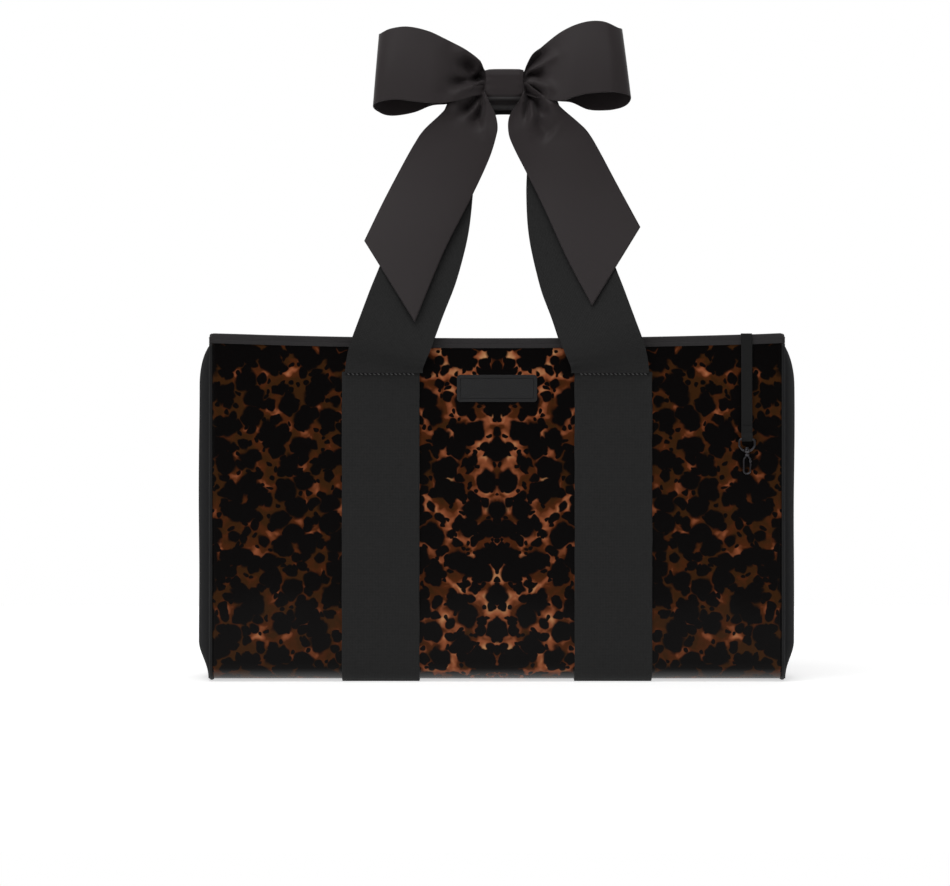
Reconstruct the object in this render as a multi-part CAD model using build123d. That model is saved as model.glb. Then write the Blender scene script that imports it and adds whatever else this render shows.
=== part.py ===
"""Wide game tote bag with webbing handles, a ribbon bow and a clip leash.

The bag stands on its two webbing straps. X runs along the bag's width, Y from
the front panel to the back panel, and Z up. The origin is under the middle of
the bag, at the level that the straps rest on. Lengths are in millimetres.
"""

from build123d import *
from math import cos, radians, sin
import os

# Bag body
BAG_WIDTH = 560.0
BAG_DEPTH = 165.0
RIM_HEIGHT = 342.0
RIM_DIP = 5.0
CORNER_RADIUS = 14.0
BASE_SEAM_IN = 16.0
VINYL_THICK = 1.2
FOAM_THICK = 2.4
LINING_THICK = 0.6
GUSSET_THICK = 1.2
GUSSET_BULGE = 16.0
SHELL_UNDER_TAPE = 0.7

# Binding tape over the rim, and piping round the side seams
BINDING_HEIGHT = 10.3
BINDING_THICK = 0.8
SIDE_BINDING_LAP = 2.6
PIPING_WIDTH = 3.4
PIPING_THICK = 1.0
PIPING_OUTSET = 2.2

# Webbing
WEBBING_WIDTH = 76.0
WEBBING_THICK = 2.4
STRAP_SPACING = 228.0
STITCH_BELOW_RIM = 38.0
LAY_GAP = 0.1
MOVING_GAP = 0.3

# Handles: a flat leg on each side, folded in half at the grip
HANDLE_FOOT_IN = 3.3
HANDLE_BULGE = 5.0
HANDLE_FIRST_RISE = 17.0
HANDLE_FIRST_IN = 4.0
HANDLE_FIRST_LEAN = 9.0
HANDLE_RIM_IN = 10.0
HANDLE_RIM_LEAN = 18.0
HANDLE_LEAN_BELOW_RIM = 4.0
GRIP_WIDTH = 34.0
GRIP_THICK = 5.5
GRIP_ABOVE_RIM = 243.0
FRONT_GRIP_Y = -6.9
BACK_GRIP_Y = 1.6
GRIP_X = 7.7

# Ribbon bow on the front grip
RIBBON_THICK = 1.0
KNOT_WIDTH = 38.0
KNOT_WALL = 1.2
KNOT_END_GAP = 0.6
KNOT_TOP_ROOM = 4.0
KNOT_SLANT = 12.0
KNOT_FLAT = 14.0
LOOP_LEAN = 14.0
LOOP_DEPTH = 35.0
LOOP_ROOT_DEPTH = 11.5
LOOP_ROOT_HEIGHT = 23.0
LOOP_SET_FORWARD = 6.2
LOOP_SWELL = 24.0
TAIL_ROOT_PLEAT = 1.3
TAIL_DROP_ABOVE = 2.0
TAIL_DROP_BELOW = 7.0
TAIL_HANG_SLOPE = 0.045
TAIL_STANDOFF = 5.0

# Name patch, left bare
PATCH_WIDTH = 78.8
PATCH_HEIGHT = 26.6
PATCH_THICK = 1.6
PATCH_CORNER = 3.4
PATCH_BELOW_RIM = 54.3
PATCH_LINE_INSET = 3.0
PATCH_LINE_WIDTH = 0.5
PATCH_LINE_DEPTH = 0.4
PATCH_LINE_CORNER = 1.5

# Stitch rows at the tops of the body straps
STITCH_LENGTH = 2.6
STITCH_PITCH = 4.2
STITCH_HEIGHT = 0.6
STITCH_PROUD = 0.4
STITCH_ROW_DOWN = 2.7
STITCH_ROW_MARGIN = 3.0

# Leash and its swivel clip
LEASH_FROM_SIDE = 35.5
LEASH_WIDTH = 12.0
LEASH_THICK = 1.6
LEASH_DROP = 104.0
LEASH_FOLD_HEIGHT = 13.0
LEASH_FOLD_START = 4.0
LEASH_FOLD_RISE = 3.5
LEASH_BEND = 1.2
ANCHOR_DROP = 40.0
ANCHOR_BEND = 1.6
CLIP_STANDOFF = 5.9
BAIL_INNER_WIDTH = 13.0
BAIL_INNER_HEIGHT = 8.0
BAIL_WIRE = 2.0
BAIL_CORNER = 2.5
BAIL_INNER_CORNER = 1.0
BAIL_EDGE = 0.6
BOSS_RADIUS = 2.8
BOSS_HEIGHT = 4.6
POST_RADIUS = 1.2
POST_CLEARANCE = 0.06
POST_HEAD_RADIUS = 2.2
POST_HEAD_HEIGHT = 1.0
COLLAR_HEIGHT = 2.4
COLLAR_SINK = 0.8
CLAW_HEIGHT = 18.5
CLAW_WIDTH = 8.4
CLAW_BAR = 1.9
CLAW_THICK = 3.2
EYE_WALL = 0.35
EYE_BELOW_SHOULDER = 1.0
EYE_SLOT_ROOM = 0.3
TIP_ABOVE_BOW = 0.6
MOUTH_IN = 1.2
MOUTH_OUT = 8.0
MOUTH_TOP_ROOM = 0.4
MOUTH_TIP_IN = 0.2
MOUTH_TIP_OUT = -0.6
GATE_THICK = 1.4
GATE_TONGUE = 0.8
GATE_BAR = 1.6
GATE_EYE_WALL = 0.25
GATE_TIP_ROOM = 0.32
GATE_NUB = 0.7
GATE_NUB_DOWN = 2.4
GATE_NUB_SINK = 0.3
GATE_PIN_RADIUS = 0.55
GATE_PIN_ROOM = 0.04
GATE_GAP = 0.12
SPRING_THICK = 0.4
SPRING_WALL = 0.1
SPRING_ROOM = 0.1
SPRING_SIDE_GAP = 0.08

# Inside
BASE_BOARD_THICK = 2.5
BASE_BOARD_MARGIN = 4.0
POCKET_WIDTH = 200.0
POCKET_HEIGHT = 170.0
POCKET_BOTTOM_Z = 55.0
POCKET_STANDOFF = 6.0
POCKET_THICK = 0.8
POCKET_HEM = 9.0
SNAP_RADIUS = 9.0
SNAP_THICK = 2.4
SNAP_STUD_RADIUS = 2.6
SNAP_STUD_HEIGHT = 1.6
SNAP_BORE_RADIUS = 3.0
SNAP_BELOW_RIM = 30.0

# Worked out from the sizes above
HALF_W = BAG_WIDTH / 2
HALF_D = BAG_DEPTH / 2
BASE_Z = WEBBING_THICK + LAY_GAP
SHELL_TOP = RIM_HEIGHT - RIM_DIP - BINDING_THICK - SHELL_UNDER_TAPE
FOAM_OUT_Y = HALF_D - VINYL_THICK
LINING_OUT_Y = FOAM_OUT_Y - FOAM_THICK
LINING_IN_Y = LINING_OUT_Y - LINING_THICK
LINING_FLOOR_Z = BASE_Z + VINYL_THICK + FOAM_THICK
STRAP_X = STRAP_SPACING / 2
PIVOT_Y = HALF_D + LAY_GAP + WEBBING_THICK + MOVING_GAP + WEBBING_THICK / 2
STITCH_LINE_Z = RIM_HEIGHT - STITCH_BELOW_RIM
LEAN_Z = RIM_HEIGHT - HANDLE_LEAN_BELOW_RIM
GRIP_Z = RIM_HEIGHT + GRIP_ABOVE_RIM
GRIP_FRONT_Y = FRONT_GRIP_Y - GRIP_THICK / 2
KNOT_BACK_Y = FRONT_GRIP_Y + GRIP_THICK / 2 + MOVING_GAP + KNOT_WALL
KNOT_LOW_Z = GRIP_Z - GRIP_WIDTH / 2 - MOVING_GAP - KNOT_WALL
KNOT_TOP_Z = GRIP_Z + GRIP_WIDTH / 2 + KNOT_TOP_ROOM + KNOT_WALL
LOOP_ROOT_BACK_Y = GRIP_FRONT_Y - LOOP_SET_FORWARD
LOOP_ROOT_FRONT_Y = LOOP_ROOT_BACK_Y - LOOP_ROOT_DEPTH
LOOP_LEAN_ROOM = LOOP_ROOT_HEIGHT / 2 * sin(radians(LOOP_LEAN))
TAIL_ROOT_Y = (
    LOOP_ROOT_FRONT_Y - LOOP_LEAN_ROOM - MOVING_GAP - RIBBON_THICK / 2 - TAIL_ROOT_PLEAT
)
KNOT_FRONT_Y = TAIL_ROOT_Y - TAIL_ROOT_PLEAT - RIBBON_THICK / 2 - MOVING_GAP - KNOT_WALL
LEASH_X = HALF_W - LEASH_FROM_SIDE
LEASH_BAR_Z = RIM_HEIGHT - LEASH_DROP
CLIP_PLANE_Y = -HALF_D - CLIP_STANDOFF
LEASH_PIVOT_Y = -HALF_D - BINDING_THICK - MOVING_GAP - LEASH_THICK / 2
LEASH_PIVOT_Z = RIM_HEIGHT - LEASH_THICK / 2


def sideways(sketch, x_low, x_high):
    """Extrudes a side view, drawn as (y, z), from x_low to x_high."""
    return extrude(Plane.YZ.offset(x_low) * sketch, x_high - x_low, dir=(1, 0, 0))


def frontways(sketch, y_low, y_high):
    """Extrudes a front view, drawn as (x, z), from y_low to y_high."""
    facing = Plane((0, y_high, 0), x_dir=(1, 0, 0), z_dir=(0, -1, 0))
    return extrude(facing * sketch, y_high - y_low, dir=(0, -1, 0))


def upwards(sketch, z_low, z_high):
    """Extrudes a plan, drawn as (x, y), from z_low to z_high."""
    return extrude(Plane.XY.offset(z_low) * sketch, z_high - z_low, dir=(0, 0, 1))


def block(x_low, x_high, y_low, y_high, z_low, z_high):
    """A plain block between two corners."""
    size = (x_high - x_low, y_high - y_low, z_high - z_low)
    middle = ((x_low + x_high) / 2, (y_low + y_high) / 2, (z_low + z_high) / 2)
    return Pos(*middle) * Box(*size)


def strip_profile(points, radius, thick):
    """The side view of a strip of even thickness along a bent centre line."""
    return trace(FilletPolyline(*points, radius=radius), thick)


def front_to_back(shape):
    """The same shape on the back of the bag."""
    return mirror(shape, Plane.XZ)


def left_to_right(shape):
    """The same shape on the other side of the bag."""
    return mirror(shape, Plane.YZ)


def u_outline(half_depth, bottom_z, radius, top_z):
    """The bag's side view: upright sides, rounded lower corners and an open top."""
    box = Pos(0, (bottom_z + top_z) / 2) * Rectangle(2 * half_depth, top_z - bottom_z)
    lower = box.vertices().sort_by(Axis.Y)[:2]
    return fillet(lower, radius)


# Bag body

def vinyl_panel():
    """Printed front panel, which turns under the bag as far as the base seam."""
    mid = VINYL_THICK / 2
    path = [
        (-HALF_D + mid, SHELL_TOP),
        (-HALF_D + mid, BASE_Z + mid),
        (-HALF_D + CORNER_RADIUS + BASE_SEAM_IN, BASE_Z + mid),
    ]
    profile = strip_profile(path, CORNER_RADIUS - mid, VINYL_THICK)
    return sideways(profile, -HALF_W, HALF_W)


def base_panel():
    """Plain panel between the two base seams."""
    half = HALF_D - CORNER_RADIUS - BASE_SEAM_IN
    return block(-HALF_W, HALF_W, -half, half, BASE_Z, BASE_Z + VINYL_THICK)


def wall_foam():
    """Foam sheet between the front vinyl and the lining."""
    low = BASE_Z + CORNER_RADIUS
    return block(-HALF_W, HALF_W, -FOAM_OUT_Y, -LINING_OUT_Y, low, SHELL_TOP)


def base_foam():
    """Foam sheet under the lining's floor."""
    half = HALF_D - CORNER_RADIUS
    low = BASE_Z + VINYL_THICK
    return block(-HALF_W, HALF_W, -half, half, low, low + FOAM_THICK)


def lining():
    """Sewn lining: one open bag with rounded lower edges."""
    radius = CORNER_RADIUS - VINYL_THICK - FOAM_THICK
    outer = u_outline(LINING_OUT_Y, LINING_FLOOR_Z, radius, SHELL_TOP)
    inner = u_outline(
        LINING_IN_Y, LINING_FLOOR_Z + LINING_THICK, radius - LINING_THICK, SHELL_TOP + 1
    )
    half = HALF_W - LAY_GAP
    hollow = sideways(inner, -half + LINING_THICK, half - LINING_THICK)
    return sideways(outer, -half, half) - hollow


def gusset_section(z, bulge):
    """Plan of the right gusset at one height: a thin arc that swells outwards."""
    middle = HALF_W + max(bulge, LAY_GAP)
    outer = ThreePointArc(
        (HALF_W + GUSSET_THICK, -HALF_D),
        (middle + GUSSET_THICK, 0),
        (HALF_W + GUSSET_THICK, HALF_D),
    )
    inner = ThreePointArc((HALF_W, HALF_D), (middle, 0), (HALF_W, -HALF_D))
    ends = [Line(outer @ 1, inner @ 0), Line(inner @ 1, outer @ 0)]
    return Pos(0, 0, z) * make_face([outer, ends[0], inner, ends[1]])


def gusset():
    """Soft right-hand side wall, full in the middle and flat at the rim."""
    under_binding = RIM_HEIGHT - BINDING_HEIGHT
    stations = [
        (BASE_Z, 0.15),
        (BASE_Z + 12, 0.5),
        (BASE_Z + 38, 0.88),
        (RIM_HEIGHT * 0.36, 1.0),
        (under_binding - 70, 1.0),
        (under_binding - 26, 0.84),
        (under_binding - 9, 0.55),
        (under_binding - 1, 0.0),
        (SHELL_TOP, 0.0),
    ]
    wall = loft([gusset_section(z, GUSSET_BULGE * f) for z, f in stations], ruled=True)
    side_view = u_outline(HALF_D, BASE_Z, CORNER_RADIUS, SHELL_TOP)
    return wall & sideways(side_view, HALF_W - 1, HALF_W + 2 * GUSSET_BULGE)


def seam_piping():
    """Piping round the right side seam: down the front, under and up the back."""
    out = HALF_D + PIPING_THICK / 2
    low = BASE_Z - PIPING_THICK / 2
    top = RIM_HEIGHT - BINDING_HEIGHT - LAY_GAP
    path = [(-out, top), (-out, low), (out, low), (out, top)]
    profile = strip_profile(path, CORNER_RADIUS + PIPING_THICK / 2, PIPING_THICK)
    outer_x = HALF_W + PIPING_OUTSET
    return sideways(profile, outer_x - PIPING_WIDTH, outer_x)


# Rim binding

def binding_reach():
    """How far the front binding reaches along X from the middle."""
    return HALF_W + GUSSET_THICK + BINDING_THICK + LAY_GAP


def front_binding():
    """Tape folded over the front rim, which dips a little in the middle."""
    reach = binding_reach()
    out_y = HALF_D + BINDING_THICK
    in_y = LINING_IN_Y - BINDING_THICK

    def arched(top):
        bottom_line = RIM_HEIGHT - BINDING_HEIGHT
        upper = ThreePointArc((-reach, top), (0, top - RIM_DIP), (reach, top))
        lower = ThreePointArc(
            (reach, bottom_line), (0, bottom_line - RIM_DIP), (-reach, bottom_line)
        )
        sides = [Line(upper @ 1, lower @ 0), Line(lower @ 1, upper @ 0)]
        return make_face([upper, sides[0], lower, sides[1]])

    tape = frontways(arched(RIM_HEIGHT), -out_y, -in_y)
    slot = frontways(arched(RIM_HEIGHT - BINDING_THICK), -HALF_D, -LINING_IN_Y)
    tape = tape - slot - block(-reach, reach, -HALF_D, -LINING_IN_Y, 0, SHELL_TOP)
    # The inner lap stops at the side walls
    side_in = HALF_W - LAY_GAP - LINING_THICK
    notch = block(side_in, reach, -LINING_IN_Y, -in_y, 0, SHELL_TOP)
    return tape - notch - left_to_right(notch)


def side_binding():
    """Tape folded over the top of the right gusset."""
    in_x = HALF_W - SIDE_BINDING_LAP
    out_x = binding_reach()
    half = LINING_IN_Y - BINDING_THICK - LAY_GAP
    low = RIM_HEIGHT - BINDING_HEIGHT
    tape = block(in_x, out_x, -half, half, low, RIM_HEIGHT)
    slot = block(
        in_x + BINDING_THICK, out_x - BINDING_THICK, -half, half, 0,
        RIM_HEIGHT - BINDING_THICK,
    )
    return tape - slot


# Webbing straps and handles

def body_strap():
    """Right strap, sewn down the front, under the base and up the back."""
    out = HALF_D + LAY_GAP + WEBBING_THICK / 2
    low = WEBBING_THICK / 2
    path = [
        (-out, STITCH_LINE_Z), (-out, low), (out, low), (out, STITCH_LINE_Z),
    ]
    radius = CORNER_RADIUS + LAY_GAP + WEBBING_THICK / 2
    profile = strip_profile(path, radius, WEBBING_THICK)
    return sideways(profile, STRAP_X - WEBBING_WIDTH / 2, STRAP_X + WEBBING_WIDTH / 2)


def leg_section(centre, lean, width, thick):
    """Webbing cut across: centre (x, y, z), turned by lean in the front view."""
    across = (cos(radians(lean)), 0, -sin(radians(lean)))
    along = (sin(radians(lean)), 0, cos(radians(lean)))
    return Plane(centre, x_dir=across, z_dir=along) * Rectangle(width, thick)


def leg_y(z, grip_y, side):
    """Depth of a handle's leg above the rim, where it leans in to the grip."""
    rim_y = side * (PIVOT_Y + HANDLE_BULGE)
    return rim_y + (grip_y - rim_y) * (z - LEAN_Z) / (GRIP_Z - LEAN_Z)


# A handle's leg above the rim: shares of its way in and of its way up to the grip, lean
# in the front view, and how far it has changed from the webbing's width and thickness to
# the grip's
LEG_STATIONS = [
    (0.125, 0.134, 19, 0.0, 0.0),
    (0.251, 0.271, 18.5, 0.0, 0.0),
    (0.363, 0.441, 14, 0.0, 0.0),
    (0.462, 0.599, 10, 0.24, 0.2),
    (0.583, 0.749, 18, 0.52, 0.5),
    (0.668, 0.850, 32, 0.76, 0.85),
    (0.756, 0.947, 55, 0.95, 1.0),
]


def handle(grip_y, side):
    """One handle. side is -1 on the front of the bag and +1 on the back."""
    foot_x = STRAP_X - HANDLE_FOOT_IN
    grip_end = KNOT_WIDTH / 2 + KNOT_END_GAP
    rim_y = side * (PIVOT_Y + HANDLE_BULGE)
    first_z = STITCH_LINE_Z + HANDLE_FIRST_RISE

    rim_x = foot_x - HANDLE_RIM_IN

    # Each station: how far out, height, depth, lean, width and thickness
    leg = [
        (foot_x, STITCH_LINE_Z, side * PIVOT_Y, 0, WEBBING_WIDTH, WEBBING_THICK),
        (
            foot_x - HANDLE_FIRST_IN, first_z, rim_y - side, HANDLE_FIRST_LEAN,
            WEBBING_WIDTH, WEBBING_THICK,
        ),
        (rim_x, LEAN_Z, rim_y, HANDLE_RIM_LEAN, WEBBING_WIDTH, WEBBING_THICK),
    ]
    for way_in, way_up, lean, narrowed, thickened in LEG_STATIONS:
        out = rim_x - (rim_x - grip_end) * way_in
        z = LEAN_Z + (GRIP_Z - LEAN_Z) * way_up
        width = WEBBING_WIDTH + (GRIP_WIDTH - WEBBING_WIDTH) * narrowed
        thick = WEBBING_THICK + (GRIP_THICK - WEBBING_THICK) * thickened
        leg.append((out, z, leg_y(z, grip_y, side), lean, width, thick))
    leg.append((grip_end, GRIP_Z, grip_y, 90, GRIP_WIDTH, GRIP_THICK))

    def section(station, hand):
        out, z, y, lean, width, thick = station
        # The grip sits right of the bag's middle, and the legs draw over to it
        draw = GRIP_X * max(0.0, (z - LEAN_Z) / (GRIP_Z - LEAN_Z)) ** 2
        turn = lean if hand < 0 else 180 - lean
        return leg_section((hand * out + draw, y, z), turn, width, thick)

    left = [section(s, -1) for s in leg]
    right = [section(s, 1) for s in reversed(leg)]
    arch = loft(left + right, ruled=True)
    feet = [
        Pos(hand * foot_x, side * PIVOT_Y, STITCH_LINE_Z)
        * Rot(0, 90, 0)
        * Cylinder(WEBBING_THICK / 2, WEBBING_WIDTH)
        for hand in (-1, 1)
    ]
    return arch + feet


def stitch_rows():
    """Rows of thread at the top of each body strap, front and back."""
    count = int((WEBBING_WIDTH - 2 * STITCH_ROW_MARGIN) // STITCH_PITCH)
    row_z = STITCH_LINE_Z - WEBBING_THICK / 2 - STITCH_ROW_DOWN
    face = HALF_D + LAY_GAP + WEBBING_THICK
    thread = Rot(0, 20, 0) * Box(STITCH_LENGTH, STITCH_PROUD, STITCH_HEIGHT)
    rows = []
    for side in (-1, 1):
        for strap in (-STRAP_X, STRAP_X):
            for i in range(count):
                x = strap + (i - (count - 1) / 2) * STITCH_PITCH
                y = side * (face + STITCH_PROUD / 2)
                rows.append(Pos(x, y, row_z) * thread)
    return Compound(children=rows)


# Ribbon bow

def knot():
    """Ribbon band that holds the loops and tails on the grip."""
    corners = [
        (KNOT_FRONT_Y, KNOT_TOP_Z),
        (KNOT_BACK_Y, KNOT_TOP_Z),
        (KNOT_BACK_Y, KNOT_LOW_Z),
        (KNOT_BACK_Y - KNOT_FLAT, KNOT_LOW_Z),
        (KNOT_FRONT_Y, KNOT_LOW_Z + KNOT_SLANT),
    ]
    outer = make_face(Polyline(*corners, close=True))
    outer = fillet(outer.vertices(), 1.5 * KNOT_WALL)
    inner = offset(outer, -KNOT_WALL)
    return sideways(outer - inner, GRIP_X - KNOT_WIDTH / 2, GRIP_X + KNOT_WIDTH / 2)


def loop_plan(root_x, end_x, hand):
    """Plan of one loop: a closed band that swells from the knot to its end."""
    front_y = LOOP_ROOT_FRONT_Y - LOOP_SWELL
    back_y = front_y + LOOP_DEPTH
    corners = [
        (root_x, LOOP_ROOT_FRONT_Y),
        (root_x + hand * KNOT_WIDTH, LOOP_ROOT_FRONT_Y),
        ((root_x + end_x) / 2, front_y + 1),
        (end_x, front_y),
        (end_x, back_y),
        (root_x, LOOP_ROOT_BACK_Y),
    ]
    fold = 2 * RIBBON_THICK
    turn = 0.45 * LOOP_DEPTH
    radii = [fold, LOOP_DEPTH / 2, LOOP_DEPTH, turn, turn, fold]
    return make_face(FilletPolyline(*corners, radius=radii, close=True))


def loop(top, bottom, hand):
    """One bow loop. top and bottom are its edges in the front view, measured from the
    middle of the knot and listed from the knot outwards."""
    upper_points = [(GRIP_X + x, GRIP_Z + z) for x, z in top]
    lower_points = [(GRIP_X + x, GRIP_Z + z) for x, z in reversed(bottom)]
    end_x = max(upper_points[-1][0] * hand, lower_points[0][0] * hand) * hand
    upper = Spline(*upper_points)
    lower = Spline(*lower_points)
    past_end = end_x + hand
    side = Polyline(
        upper @ 1, (past_end, upper_points[-1][1]), (past_end, lower_points[0][1]), lower @ 0
    )
    outline = make_face([upper, side, lower, Line(lower @ 1, upper @ 0)])
    plan = loop_plan(upper_points[0][0], end_x, hand)
    band = plan - offset(plan, -RIBBON_THICK)
    reach = GRIP_Z / 2
    ring = upwards(band, GRIP_Z - reach, GRIP_Z + reach) & frontways(outline, -reach, reach)
    root = Pos(0, (LOOP_ROOT_FRONT_Y + LOOP_ROOT_BACK_Y) / 2, GRIP_Z)
    return root * Rot(-LOOP_LEAN, 0, 0) * root.inverse() * ring


# Edges of the loops, as (x, z) from the middle of the knot
LEFT_LOOP_TOP = [(-0.4, 13), (-20, 17), (-48, 38), (-75, 51), (-98, 57), (-124.4, 51)]
LEFT_LOOP_BOTTOM = [(-0.4, -10), (-20, -8), (-40, -17), (-68, -21), (-104, -17), (-130, -22)]
RIGHT_LOOP_TOP = [(0.4, 13), (20.8, 17), (40.3, 38), (65.3, 54.5), (92, 62), (116.7, 56)]
RIGHT_LOOP_BOTTOM = [(0.4, -10), (19.3, -8), (38.3, -15), (59.7, -18), (94.3, -10), (124, -13)]


def tail_y(z):
    """Depth of the tails' middle plane at one height: they leave the knot's sides, drop
    clear of its front, and then lie down the front handle's legs."""
    leave_z = KNOT_LOW_Z + KNOT_SLANT + TAIL_DROP_ABOVE
    clear_z = KNOT_LOW_Z + KNOT_SLANT - TAIL_DROP_BELOW
    clear_y = KNOT_FRONT_Y - MOVING_GAP - RIBBON_THICK / 2 - TAIL_ROOT_PLEAT
    if z >= leave_z:
        return TAIL_ROOT_Y
    if z >= clear_z:
        share = (leave_z - z) / (leave_z - clear_z)
        return TAIL_ROOT_Y + (clear_y - TAIL_ROOT_Y) * share
    hang_y = clear_y - TAIL_HANG_SLOPE * (clear_z - z)
    return min(hang_y, leg_y(z, FRONT_GRIP_Y, -1) - WEBBING_THICK / 2 - TAIL_STANDOFF)


# Forward and back folds across a tail, as shares of the pleat depth
PLEATS = (0, -1, 0, 0.8, 0, -1, 0, 0.8, 0)


def tail_section(outer, inner, depth):
    """A strip across the tail with pleats of the given depth."""
    count = len(PLEATS) - 1
    front, back = [], []
    for i, pleat in enumerate(PLEATS):
        share = i / count
        x = GRIP_X + outer[0] + (inner[0] - outer[0]) * share
        z = GRIP_Z + outer[1] + (inner[1] - outer[1]) * share
        base = tail_y(GRIP_Z + outer[1]) * (1 - share) + tail_y(GRIP_Z + inner[1]) * share
        y = base + pleat * depth
        front.append((x, y - RIBBON_THICK / 2, z))
        back.append((x, y + RIBBON_THICK / 2, z))
    back.reverse()
    edges = []
    for row in (front, back):
        for i in range(0, count, 2):
            edges.append(ThreePointArc(row[i], row[i + 1], row[i + 2]))
    edges.append(Line(front[-1], back[0]))
    edges.append(Line(back[-1], front[0]))
    return Wire(edges)


def tail(stations, cut):
    """One hanging tail, cut off on a slant from its outer corner to its tip."""
    strip = Solid.make_loft([tail_section(*s) for s in stations], ruled=True)
    corner_x, corner_z = GRIP_X + cut[0][0], GRIP_Z + cut[0][1]
    tip_x, tip_z = GRIP_X + cut[1][0], GRIP_Z + cut[1][1]
    run_x, run_z = tip_x - corner_x, tip_z - corner_z
    below = Polyline(
        (corner_x - run_x, corner_z - run_z),
        (tip_x + run_x, tip_z + run_z),
        (tip_x + run_x, 0),
        (corner_x - run_x, 0),
        close=True,
    )
    return strip - frontways(make_face(below), -BAG_DEPTH, 0)


# Tails, as (x, z) from the middle of the knot. Each station: outer edge, inner edge and
# depth of the pleats
LEFT_TAIL = [
    ((-4.7, 12), (-3.7, -2), TAIL_ROOT_PLEAT),
    ((-20.3, 12), (-19.9, -3), TAIL_ROOT_PLEAT),
    ((-33, -9), (-19.9, -19), 1.6),
    ((-47.7, -22), (-8.7, -33), 4.2),
    ((-70, -36), (-7, -56), 3.4),
    ((-90.2, -55), (-20.7, -85), 1.6),
    ((-105.2, -83), (-36, -114.2), 0.5),
    ((-138.2, -152), (-69, -183.2), 0.3),
    ((-167, -216), (-97.7, -247), 0.3),
]
LEFT_CUT = ((-138.2, -152), (-88.2, -232))
RIGHT_TAIL = [
    ((4.7, 12), (3.7, -2), TAIL_ROOT_PLEAT),
    ((20.3, 12), (19.9, -3), TAIL_ROOT_PLEAT),
    ((33, -11), (19.9, -20), 1.4),
    ((50.3, -20), (4.7, -33), 4.2),
    ((74, -36), (4.3, -54), 3.4),
    ((94.1, -59.5), (17.3, -77), 1.6),
    ((107.2, -85), (36.3, -115), 0.5),
    ((133.6, -138.2), (64.3, -172), 0.3),
    ((167.3, -206), (96.3, -238), 0.3),
]
RIGHT_CUT = ((133.6, -138.2), (85.6, -216))


# Patch, leash and clip

def label_patch():
    """Bare stitched-down patch with a pressed line round its edge."""
    def plate(inset, corner):
        size = (PATCH_WIDTH - 2 * inset, PATCH_HEIGHT - 2 * inset)
        return Pos(0, RIM_HEIGHT - PATCH_BELOW_RIM) * RectangleRounded(*size, corner)

    patch = frontways(plate(0, PATCH_CORNER), -HALF_D - PATCH_THICK, -HALF_D)
    line = plate(PATCH_LINE_INSET, PATCH_LINE_CORNER) - plate(
        PATCH_LINE_INSET + PATCH_LINE_WIDTH, PATCH_LINE_CORNER
    )
    face = -HALF_D - PATCH_THICK
    return patch - frontways(line, face - 1, face + PATCH_LINE_DEPTH)


def leash_anchor():
    """Leash tape inside the rim and over it, sewn down."""
    mid = LEASH_THICK / 2
    in_y = -LINING_IN_Y + BINDING_THICK + mid
    top = RIM_HEIGHT + mid
    path = [
        (in_y, RIM_HEIGHT - ANCHOR_DROP),
        (in_y, top),
        (LEASH_PIVOT_Y + mid + MOVING_GAP, top),
    ]
    profile = strip_profile(path, ANCHOR_BEND, LEASH_THICK)
    return sideways(profile, LEASH_X - LEASH_WIDTH / 2, LEASH_X + LEASH_WIDTH / 2)


def leash_strap():
    """Hanging tape, folded up in front round the clip's bar."""
    mid = LEASH_THICK / 2
    bar_room = BAIL_WIRE / 2 + MOVING_GAP
    back_y = CLIP_PLANE_Y + bar_room + mid
    front_y = CLIP_PLANE_Y - bar_room - mid
    flap_y = back_y - LEASH_THICK - LAY_GAP
    low = LEASH_BAR_Z - bar_room - mid
    top = LEASH_BAR_Z + LEASH_FOLD_HEIGHT
    hanging = strip_profile(
        [
            (LEASH_PIVOT_Y, LEASH_PIVOT_Z),
            (back_y, top),
            (back_y, low),
            (front_y, low),
            (front_y, LEASH_BAR_Z + LEASH_FOLD_START),
            (flap_y, LEASH_BAR_Z + LEASH_FOLD_START + LEASH_FOLD_RISE),
            (flap_y, top),
        ],
        LEASH_BEND,
        LEASH_THICK,
    )
    round_top = Pos(LEASH_PIVOT_Y, LEASH_PIVOT_Z) * Circle(mid)
    return sideways(
        hanging + round_top, LEASH_X - LEASH_WIDTH / 2, LEASH_X + LEASH_WIDTH / 2
    )


BAIL_BOTTOM_Z = LEASH_BAR_Z - BAIL_INNER_HEIGHT - BAIL_WIRE
BOSS_TOP_Z = BAIL_BOTTOM_Z + BAIL_WIRE / 2
BOSS_LOW_Z = BOSS_TOP_Z - BOSS_HEIGHT
CLAW_TOP_Z = BOSS_LOW_Z - MOVING_GAP - COLLAR_HEIGHT


def clip_bail():
    """Wire frame that the leash holds, with a boss that the hook turns in."""
    middle_z = LEASH_BAR_Z - (BAIL_INNER_HEIGHT + BAIL_WIRE) / 2
    outer = RectangleRounded(
        BAIL_INNER_WIDTH + 2 * BAIL_WIRE, BAIL_INNER_HEIGHT + 2 * BAIL_WIRE, BAIL_CORNER
    )
    inner = RectangleRounded(BAIL_INNER_WIDTH, BAIL_INNER_HEIGHT, BAIL_INNER_CORNER)
    half = BAIL_WIRE / 2
    frame = frontways(
        Pos(LEASH_X, middle_z) * (outer - inner), CLIP_PLANE_Y - half, CLIP_PLANE_Y + half
    )
    frame = fillet(frame.edges().filter_by(Axis.X), BAIL_EDGE)
    at = Pos(LEASH_X, CLIP_PLANE_Y)
    boss = upwards(at * Circle(BOSS_RADIUS), BOSS_LOW_Z, BOSS_TOP_Z)
    bore = upwards(at * Circle(POST_RADIUS + POST_CLEARANCE), BOSS_LOW_Z - 1, BOSS_TOP_Z + 1)
    return frame + boss - bore


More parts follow.
